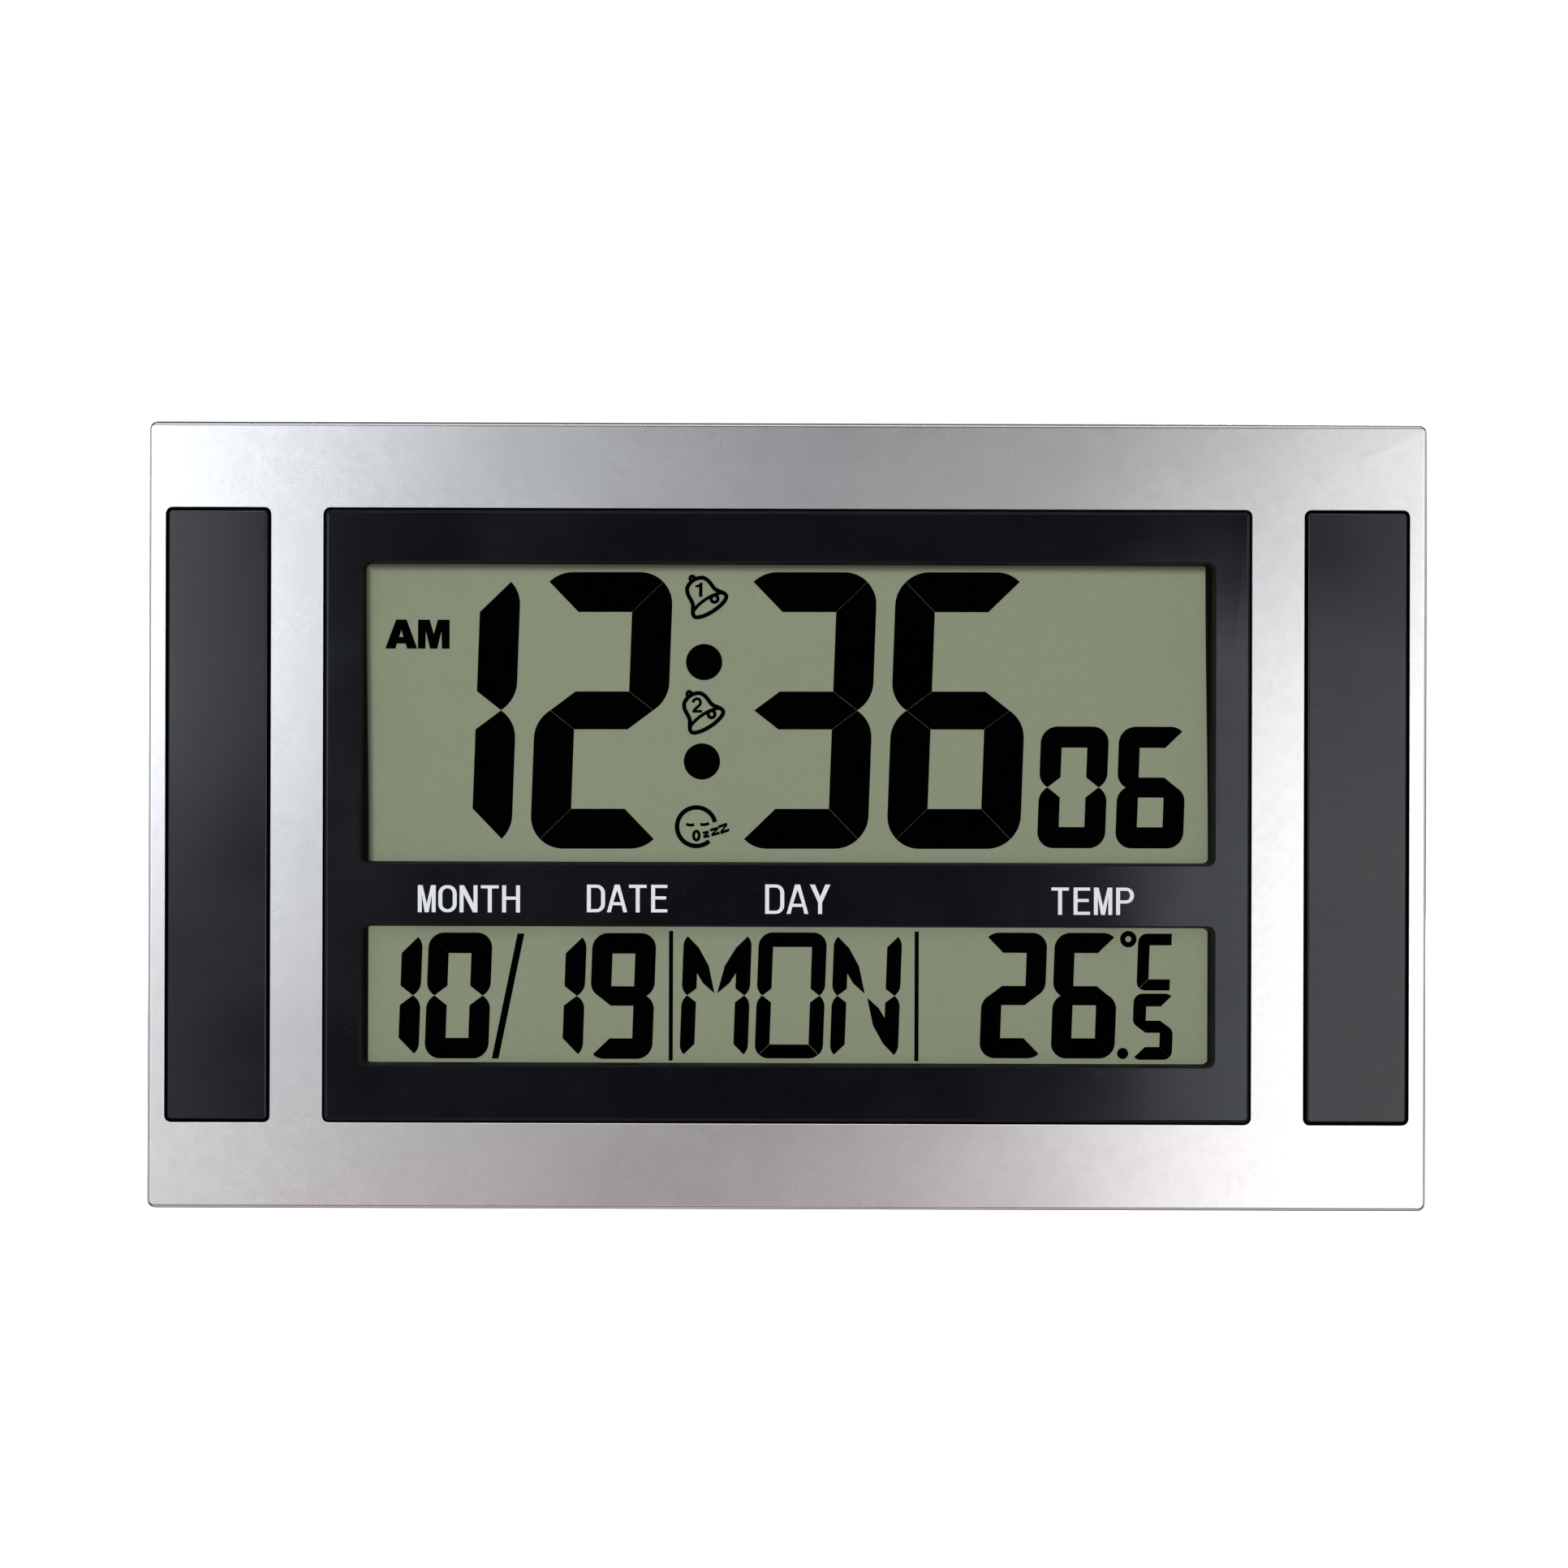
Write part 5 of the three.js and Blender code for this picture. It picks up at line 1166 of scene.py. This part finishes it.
@dataclass(frozen=True)
class Lettering:
    """Plain condensed capitals drawn as stems and bars, for the words on the display frame."""

    height: float = 5.6
    stem: float = 0.82
    bar: float = 0.64
    bend: float = 1.75
    least_bend: float = 0.15
    slack: float = 0.01
    cross: float = 1.45
    waist: float = 0.47
    bowl_foot: float = 0.42
    leg_in: Pair = (0.34, 0.50)
    apex: Pair = (0.52, 1.1)
    short: float = 0.25
    m_share: float = 0.66
    m_foot: float = 0.42
    m_top: float = 0.16
    m_valley: float = 1.75
    n_shares: Pair = (0.68, 0.32)
    n_in: float = 0.1
    y_arm: float = 1.05
    y_forks: Pair = (2.35, 3.55)
    ring_in: float = 0.1

    def letter(self, sign: str, w: float) -> list[Rows]:
        """Gives the outlines of one capital.

        Args:
            sign: which capital.
            w: its width.

        Returns:
            Outlines that meet but don't cross.
        """
        h, s, b, m, box = self.height, self.stem, self.bar, w / 2, self.block
        low, high, waist = self.cross, self.cross + b, h * self.waist
        left, right, post = m - s / 2, m + s / 2, box(0, 0, s, h)
        leg = np.array([(0, 0), (s, 0), (s + self.leg_in[0], low), (m, low), (m, high), (s + self.leg_in[1], high),
                        (m, h - self.apex[1]), (m, h), (m - self.apex[0], h)])
        rise, foot, top = h * self.m_share, self.m_foot, self.m_top
        (n_high, n_low), n = self.n_shares, self.n_in
        (fork, crotch), arm = self.y_forks, self.y_arm
        shapes = {
            "T": [box(0, h - b, w, h), box(left, 0, right, h - b)],
            "H": [post, box(w - s, 0, w, h), box(s, waist, w - s, waist + b)],
            "E": [post, box(s, 0, w, b), box(s, waist, w - self.short, waist + b), box(s, h - b, w, h)],
            "D": [post, self.bowl(s, w, 0.0, h)],
            "P": [post, self.bowl(s, w, h * self.bowl_foot, h)],
            "M": [[(0, 0), (s, 0), (s, rise), (m - foot, 0), (m + foot, 0), (w - s, rise), (w - s, 0), (w, 0), (w, h),
                   (w - s - top, h), (m, self.m_valley), (s + top, h), (0, h)]],
            "N": [[(0, 0), (s, 0), (s, h * n_high), (w - s - n, 0), (w, 0), (w, h), (w - s, h), (w - s, h * n_low),
                   (s + n, h), (0, h)]],
            "A": [leg, mirrored(leg) + (w, 0)],
            "Y": [[(left, 0), (right, 0), (right, fork), (w, h), (w - arm, h), (m, crotch), (arm, h), (0, h),
                   (left, fork)]],
        }
        return [np.asarray(o, dtype=float) for o in shapes[sign]]

    @staticmethod
    def block(x0: float, z0: float, x1: float, z1: float) -> Rows:
        """Gives a rectangle from its left, low, right and high edges."""
        return np.array([(x0, z0), (x1, z0), (x1, z1), (x0, z1)])

    def bowl(self, x: float, w: float, low: float, high: float) -> Rows:
        """The bent stroke of D and P: bars out from the stem, joined by two quarter bends.

        Args:
            x: right edge of the stem.
            w: width of the letter.
            low: foot of the bowl.
            high: its top.

        Returns:
            One outline, out along its outer edge and back along its inner one.
        """
        r, b, s = min(self.bend, (high - low) / 2 - self.slack), self.bar, self.stem
        across, up = max(r - s, self.least_bend), max(r - b, self.least_bend)
        edges = []
        for bend, right, foot, top in (((r, r), w, low, high), ((across, up), w - s, low + b, high - b)):
            lower = arc((right - bend[0], foot + bend[1]), bend, -90, 0)
            upper = arc((right - bend[0], top - bend[1]), bend, 0, 90)
            edges.append(np.vstack([[(x, foot)], lower, upper, [(x, top)]]))
        return np.vstack([edges[0], edges[1][::-1]])

    def ring(self, w: float) -> tuple[Rows, Rows]:
        """The outer and inner outline of an O.

        Args:
            w: its width.

        Returns:
            Two outlines of as many points each.
        """
        r, s, b = self.bend, self.stem, self.bar
        inner = rounded((s, b), (w - s, self.height - b), (r - s + self.ring_in, r - b))
        return rounded((0, 0), (w, self.height), r), inner


@dataclass(frozen=True)
class FrameWords:
    """The four printed words between the two windows: base, height, and left and right edge of each letter."""

    proud: float = 0.02
    sink: float = 0.04
    words: tuple[tuple[str, float, float, Pairs], ...] = (
        ("MONTH", 61.45, 5.6,
         ((-76.4, -72.7), (-72.15, -68.35), (-67.75, -64.05), (-63.35, -59.65), (-58.95, -55.25))),
        ("DATE", 61.55, 5.7, ((-41.4, -37.65), (-37.25, -33.05), (-32.7, -29.05), (-28.1, -24.75))),
        ("DAY", 61.32, 6.08, ((-4.5, -0.55), (-0.05, 4.45), (4.75, 9.0))),
        ("TEMP", 61.3, 5.65, ((54.75, 58.35), (59.35, 62.75), (63.55, 67.35), (68.15, 71.85))),
    )

    def build(self) -> None:
        """Prints each word as a thin raised layer on the frame's front."""
        front = float(span("display_frame")[0, 1])
        slab = Slab(front - self.proud, front + self.sink)
        for word, base, height, edges in self.words:
            hand = Lettering(height)
            parts: list[Surface] = []
            for sign, (left, right) in zip(word, edges):
                step = (left, base)
                if sign == "O":
                    parts.append(slab.band(*(o + step for o in hand.ring(right - left))))
                else:
                    parts += [slab.plate(o + step) for o in hand.letter(sign, right - left)]
            Surface.joined(parts).piece(f"frame_word_{word.lower()}", "case", Paint.LEGEND, "white_plastic")


@dataclass(frozen=True)
class FrontCase:
    """The silver bezel, the display frame and the two dark strips."""

    skins: tuple[Moulding, ...] = (
        # the second finish paints shade on the pocket walls, the strips' edges and the window walls
        Moulding("front_bezel", 0.14, Paint.WALL, inset=3.0, sunk=0.4),
        Moulding("display_frame", 0.25, Paint.REVEAL, shades=False, level=0.03),
        Moulding("left_inlay", 0.3, Paint.WALL), Moulding("right_inlay", 0.3, Paint.WALL),
    )

    def build(self) -> None:
        """Breaks the edges of the four front mouldings and prints the words."""
        for skin in self.skins:
            skin.build()
        FrameWords().build()


@dataclass(frozen=True)
class CrossScrew:
    """A pan-headed tapping screw with a cross recess, on rings of points round its axis."""

    head: float = 2.4
    head_thick: float = 1.8
    dome: float = 0.5
    eye: float = 0.02
    deep: float = 1.05
    slot: float = 0.42
    slot_wall: float = 0.16
    reach: float = 1.45
    reach_wall: float = 0.4
    core: float = 0.95
    ridge: float = 0.3
    pitch: float = 1.1
    tip: float = 0.8
    tip_share: float = 0.25
    rings: int = 30
    rows: int = 90
    sides: int = 64

    def surface(self, centre: Triple, length: float) -> Surface:
        """Head: level = dome (r / head)^2 + deep * cross. Thread: radius = core + ridge * saw(s / pitch - turn).

        Args:
            centre: middle of the head's top.
            length: whole length of the screw.

        Returns:
            A closed surface, its head towards the back.
        """
        turn = np.linspace(0, 2 * np.pi, self.sides, endpoint=False)[None, :]
        top = np.linspace(self.eye, self.head, self.rings)[:, None]
        arm = np.minimum(np.abs(top * np.cos(turn)), np.abs(top * np.sin(turn)))
        ends = np.clip((self.reach - top) / self.reach_wall, 0, 1)
        cross = np.clip((self.slot - arm) / self.slot_wall, 0, 1) * ends
        shank = np.linspace(self.head_thick, length - self.tip, self.rows)[:, None]
        wave = np.abs(2 * ((shank / self.pitch - turn / (2 * np.pi)) % 1) - 1)
        plain = np.ones_like(turn)
        radius = np.vstack([top * plain, self.head * plain, self.core + self.ridge * wave,
                            self.tip_share * self.core * plain])
        level = np.vstack([self.dome * (top / self.head) ** 2 + self.deep * cross, self.head_thick * plain,
                           shank * plain, length * plain])
        flat = np.stack([radius * np.cos(turn), radius * np.sin(turn)], axis=-1).reshape(-1, 2)
        return Surface.capped(REAR.lift(flat, level.reshape(-1)) + np.array(centre), self.sides)

    def build(self, node: str) -> None:
        """Puts a screw where a packed one is.

        Args:
            node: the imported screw.
        """
        low, high = span(node)
        centre = ((low[0] + high[0]) / 2, high[1], (low[2] + high[2]) / 2)
        screw = self.surface(centre, high[1] - low[1])
        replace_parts(screw.piece(node + "_threaded", body_of(node), Paint.STEEL, "bright_steel"), node)


@dataclass(frozen=True)
class BackCase:
    """The rear cover with its screws, keys, door and stand."""

    skins: tuple[tuple[str, float], ...] = (("rear_cover", 0.15), ("battery_door", 0.14), ("stand_leg", 0.2))
    keys: tuple[str, ...] = ("mode", "set", "up", "down", "alarm")
    key_edge: float = 0.2
    screws: int = 6

    def build(self) -> None:
        """Breaks the edges of the back's mouldings and keys, and makes the screws."""
        for node, edge in self.skins + tuple((f"button_{key}", self.key_edge) for key in self.keys):
            Moulding(node, edge).build()
        for number in range(1, self.screws + 1):
            CrossScrew().build(f"cover_screw_{number}")


@dataclass(frozen=True)
class Coil:
    """A conical battery spring: an open flat turn on its plate, rising turns that narrow, and a flat tip."""

    wire: float = 0.8
    foot: float = 5.0
    base: float = 4.2
    base_turn: float = 0.2
    tip: float = 2.75
    tip_in: float = 0.2
    turns: float = 2.5
    flat: float = 0.6
    lead_in: float = 0.15
    lead_out: float = 0.1
    free: float = 5.7
    steps: int = 150

    def surface(self, plate_x: float, way: float, axis_y: float, axis_z: float) -> Surface:
        """Radius and rise go from foot to tip over the turns, as y = r sin a and z = r cos a round the axis.

        Args:
            plate_x: face of the plate.
            way: 1 to the right or -1 to the left.
            axis_y: place of the coil's axis in depth.
            axis_z: its height.

        Returns:
            The coil's wire.
        """
        start, end = -self.flat, self.turns + self.flat / 2
        low, high = self.wire / 2, self.free - self.wire / 2
        turn = np.linspace(start, end, self.steps)
        radius = np.interp(turn, [start, self.base_turn, self.turns, end],
                           [self.foot, self.base, self.tip, self.tip - self.tip_in])
        rise = np.interp(turn, [start, 0.0, self.turns, end], [low, low + self.lead_in, high - self.lead_out, high])
        angle = 2 * np.pi * turn
        path = [plate_x + way * rise, axis_y + radius * np.sin(angle), axis_z + radius * np.cos(angle)]
        return tube(np.column_stack(path), self.wire / 2, (1, 0, 0))


@dataclass(frozen=True)
class Cell:
    """A round cell: a steel can with a nub and rolled ends, and a printed sleeve shrunk over them."""

    axis_hole: float = 0.05
    nub: float = 2.75
    nub_long: float = 1.0
    nub_round: float = 0.4
    groove: Pairs = ((-1.6, 0.25), (-1.2, 0.0))
    edge_round: float = 0.7
    heel_round: float = 0.5
    heel: Pairs = ((-1.4, 0.0), (-1.8, -0.2))
    sleeve: float = 0.12
    play: float = 0.02
    lip: float = 0.5
    lip_in: Pair = (1.2, 1.1)

    def build(self, node: str, nub_side: float, finish: Finish) -> None:
        """Turns the can and the sleeve about the cell's axis, from the nub to the heel.

        Args:
            node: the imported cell.
            nub_side: 1 for a nub on the right, -1 on the left.
            finish: the sleeve's print.
        """
        low, high = span(node)
        plane = FACING_RIGHT if nub_side > 0 else FACING_LEFT
        centre = (high[0] if nub_side > 0 else low[0], (low[1] + high[1]) / 2, (low[2] + high[2]) / 2)
        r, length, top = (high[2] - low[2]) / 2, high[0] - low[0], self.nub_long
        can = r - self.sleeve
        a, e, h = self.nub_round, self.edge_round, self.heel_round
        steel = np.vstack([
            [(self.axis_hole, 0.0)], arc((self.nub - a, a), (a, a), -90, 0, 6), [(self.nub, top)],
            np.array(self.groove) + (can, top), arc((can - e, top + e), (e, e), -90, 0, 7),
            arc((can - h, length - h), (h, h), 0, 90, 6), np.array(self.heel) + (can, length),
            [(self.axis_hole, length + self.heel[-1][1])],
        ])
        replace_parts(lathe(steel, centre, plane).piece(node + "_can", "case", Paint.CAN, "battery_can"), node)
        lip = self.lip
        outer = np.vstack([[(r - self.lip_in[0], top)], arc((r - lip, top + lip), lip, -90, 0, 7),
                           arc((r - lip, length - lip), lip, 0, 90, 7), [(r - self.lip_in[1], length)]])
        inner = offset(outer, self.sleeve + self.play, False)[::-1]
        tube_wall = lathe(np.vstack([outer, inner]), centre, plane, True)
        tube_wall.piece(node + "_sleeve", "case", finish, "battery_can")


@dataclass(frozen=True)
class BatteryBay:
    """Two round cells in a bay, the plated contacts at its ends, and the leads."""

    contact: float = 0.5
    corner: float = 1.2
    tab_half: float = 2.0
    tab_corner: float = 0.2
    tab_from_axis: float = 4.5
    wire: float = 0.65
    routes: tuple[tuple[str, str, tuple[Triple, ...]], ...] = (
        ("battery_lead_red", "red_lead",
         ((103.75, -1.35, 38.55), (109.0, -1.35, 41.15), (109.0, -0.25, 65.5), (93.0, -0.25, 80.075),
          (77.0, -0.25, 94.65), (77.0, -0.25, 98.55))),
        ("battery_lead_black", "black_lead",
         ((103.75, -1.35, 53.45), (106.0, -1.35, 56.05), (106.0, -0.25, 65.5), (81.5, -0.25, 80.075),
          (57.0, -0.25, 94.65), (57.0, -0.25, 98.55))),
        ("buzzer_lead_red", "red_lead",
         ((-78.0, 9.5, 46.0), (-78.0, 6.9, 49.9), (-76.0, 4.625, 70.325), (-74.0, -0.25, 92.05),
          (-74.0, -0.25, 98.55))),
        ("buzzer_lead_black", "black_lead",
         ((-89.75, 9.8, 46.0), (-89.75, 7.2, 49.9), (-85.875, 4.775, 70.325), (-82.0, -0.25, 92.05),
          (-82.0, -0.25, 98.55))),
    )

    def build(self) -> None:
        """Makes the cells, the contacts and the leads."""
        Cell().build("battery_1", -1.0, Paint.SLEEVE_LEFT)
        Cell().build("battery_2", 1.0, Paint.SLEEVE_RIGHT)
        upper, lower = (span(node).mean(axis=0) for node in ("battery_1", "battery_2"))
        self.plated("negative_contact", upper[1], -1.0, upper[2])
        self.plated("positive_contact", upper[1], 0.0, lower[2])
        self.plated("link_contact", upper[1], 1.0, lower[2])
        for node, slot, route in self.routes:
            wire = tube(smooth_path(np.array(route)), self.wire, (0, 1, 0), 16)
            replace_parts(wire.piece(node + "_insulated", "case", SLOT_FINISH[slot], slot), node)

    def plated(self, node: str, axis_y: float, coil_way: float, coil_z: float) -> None:
        """A plate with rounded corners, a solder tab through the right wall, and a coil for a negative end.

        Args:
            node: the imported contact.
            axis_y: place of the cells' axes in depth.
            coil_way: 1 for a coil to the right, -1 to the left, 0 for none.
            coil_z: height of the coil's axis.
        """
        low, high = span(node)
        right = node != "link_contact"
        near = span("positive_contact")[0, 0] if right else low[0]
        sheet = Slab(near, near + self.contact, FACING_LEFT)
        face = sheet.near if right else sheet.far
        parts = [sheet.plate(rounded((low[2], low[1]), (high[2], high[1]), self.corner))]
        if right:
            z, y, half = (low[2] + high[2]) / 2, axis_y - self.tab_from_axis, self.contact / 2
            tab = rounded((z - self.tab_half, y - half), (z + self.tab_half, y + half), self.tab_corner, 4)
            parts.append(Slab(sheet.far, high[0], FACING_LEFT).plate(tab))
        if coil_way:
            parts.append(Coil().surface(face, coil_way, axis_y, coil_z))
        thing = Surface.joined(parts).piece(node + "_plated", "case", Paint.STEEL, "bright_steel")
        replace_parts(thing, node)


class Tint(Enum):
    """Colours of the studio's lights."""

    COOL = (0.90, 0.955, 1.0)
    PLAIN = (1.0, 0.99, 0.99)
    ROSE = (1.0, 0.97, 0.99)
    WARM = (1.0, 0.48, 0.38)


@dataclass(frozen=True)
class Lamp:
    """A soft rectangular light in metres and watts, which faces straight ahead when it has no aim."""

    name: str
    place: Triple
    size: Pair
    power: float
    tint: Tint = Tint.PLAIN
    aim: Triple | None = None

    def hang(self) -> None:
        """Makes the light, unseen by the camera."""
        data = bpy.data.lights.new(self.name, "AREA")
        data.color = self.tint.value
        data.shape = "RECTANGLE"
        data.size, data.size_y = self.size
        data.energy = self.power
        thing = bpy.data.objects.new(self.name, data)
        thing.location = self.place
        aim = Vector(self.aim or (self.place[0], 0.0, self.place[2]))
        thing.rotation_euler = (aim - Vector(self.place)).to_track_quat("-Z", "Y").to_euler()
        thing.visible_camera = False
        bpy.context.scene.collection.objects.link(thing)


CLOCK_MIDDLE = (0.0, 0.0, 0.08)


@dataclass(frozen=True)
class Studio:
    """Camera, lights, floor and background, in metres."""

    eye: Triple = (-0.00067, -0.714, 0.0882)
    lens: float = 77.64
    sensor: float = 36.0
    near: float = 0.01
    roll: float = 0.17
    fill: Triple = (0.06, 0.06, 0.063)
    white: float = 1.05
    floor_half: float = 3.0
    floor_level: float = -0.05
    floor_round: float = 0.2
    floor_tones: tuple[Triple, Triple] = ((0.86, 0.86, 0.86), (0.9, 0.9, 0.9))
    floor_waves: float = 6.0
    floor_rough: float = 0.9
    lamps: tuple[Lamp, ...] = (
        Lamp("left_softbox", (-0.70, -1.0, 0.56), (0.86, 0.88), 4.3, Tint.COOL),
        Lamp("left_low_softbox", (-0.71, -1.0, -0.20), (0.84, 0.60), 1.0),
        Lamp("left_mid_card", (-0.425, -1.0, 0.12), (0.27, 0.36), 1.95, Tint.COOL),
        Lamp("right_softbox", (0.62, -1.0, -0.22), (0.88, 0.80), 4.0, Tint.ROSE),
        Lamp("right_high_softbox", (0.72, -1.0, 0.48), (0.84, 0.56), 1.9),
        Lamp("low_card", (-0.10, -0.9, -0.40), (0.5, 0.4), 0.34, Tint.WARM),
        Lamp("top_softbox", (0.0, -0.85, 1.25), (1.2, 0.6), 5.0, aim=CLOCK_MIDDLE),
        Lamp("under_card", (0.0, -0.15, -0.7), (0.9, 0.6), 0.85, aim=(0.0, -0.15, 0.0)),
        Lamp("left_card", (-0.9, -0.15, 0.08), (0.6, 0.7), 0.75, aim=(0.0, -0.15, 0.08)),
        Lamp("right_card", (0.9, -0.15, 0.08), (0.6, 0.7), 0.75, aim=(0.0, -0.15, 0.08)),
        Lamp("rear_left_softbox", (0.75, 1.1, 0.75), (0.9, 1.0), 22.0, aim=CLOCK_MIDDLE),
        Lamp("rear_right_softbox", (-0.85, 1.0, 0.45), (0.8, 1.0), 14.0, aim=CLOCK_MIDDLE),
    )

    def build(self) -> None:
        """Sets the camera where the picture was taken from, and lights the clock softly."""
        scene = bpy.context.scene
        scene.view_settings.view_transform = "Standard"
        self.camera(scene)
        self.world(scene)
        self.floor()
        for lamp in self.lamps:
            lamp.hang()

    def camera(self, scene: bpy.types.Scene) -> None:
        """Makes the level camera, turned by the small roll of the picture.

        Args:
            scene: where it stands.
        """
        data = bpy.data.cameras.new("camera")
        data.lens = self.lens
        data.sensor_width = self.sensor
        data.clip_start = self.near
        thing = bpy.data.objects.new("camera", data)
        thing.location = self.eye
        thing.rotation_euler = (math.radians(90), math.radians(-self.roll), 0.0)
        scene.collection.objects.link(thing)
        scene.camera = thing

    def world(self, scene: bpy.types.Scene) -> None:
        """Lights from all round with grey, and shows white to the camera.

        Args:
            scene: what it lights.
        """
        scene.world = bpy.data.worlds.new("pale_studio")
        graph = Graph.fresh(scene.world)
        soft = graph.add("Background", None, Color=self.fill)
        seen = graph.add("Background", None, Color=(1.0, 1.0, 1.0), Strength=self.white)
        ray = graph.add("LightPath").outputs["Is Camera Ray"]
        mixed = graph.add("MixShader", None, _0=ray, _1=soft.outputs[0], _2=seen.outputs[0])
        graph.add("OutputWorld", None, Surface=mixed.outputs[0])

    def floor(self) -> None:
        """Lays a broad pale floor that glows a little, so that it reads as white paper."""
        half = self.floor_half / MM
        sheet = rounded((-half, -half), (half, half), half * self.floor_round)
        points = np.column_stack([sheet, np.full(len(sheet), self.floor_level)]) * MM
        mesh = bpy.data.meshes.new("floor")
        mesh.from_pydata(points.tolist(), [], [list(range(len(points)))])
        made = bpy.data.materials.new("pale_floor")
        graph = Graph.fresh(made)
        place = graph.add("TexCoord").outputs["Object"]
        tone = graph.ramp(graph.noise(place, self.floor_waves, 3.0), *CLOUD_RANGE)
        shader = graph.add("BsdfPrincipled", None, Base_Color=graph.mix(tone, *self.floor_tones),
                           Roughness=self.floor_rough, Emission_Color=(1.0, 1.0, 1.0), Emission_Strength=self.white)
        graph.add("OutputMaterial", None, Surface=shader.outputs[0])
        mesh.materials.append(made)
        thing = bpy.data.objects.new("floor", mesh)
        thing.visible_glossy = thing.visible_diffuse = thing.visible_shadow = False
        bpy.context.scene.collection.objects.link(thing)


def main() -> None:
    """Builds the studio and then the clock, from the front to the back."""
    logging.basicConfig(level=logging.INFO, format="%(message)s")
    Studio().build()
    dress_nodes()
    FrontCase().build()
    LcdPanel().build()
    BackCase().build()
    BatteryBay().build()


if __name__ == "__main__":
    main()
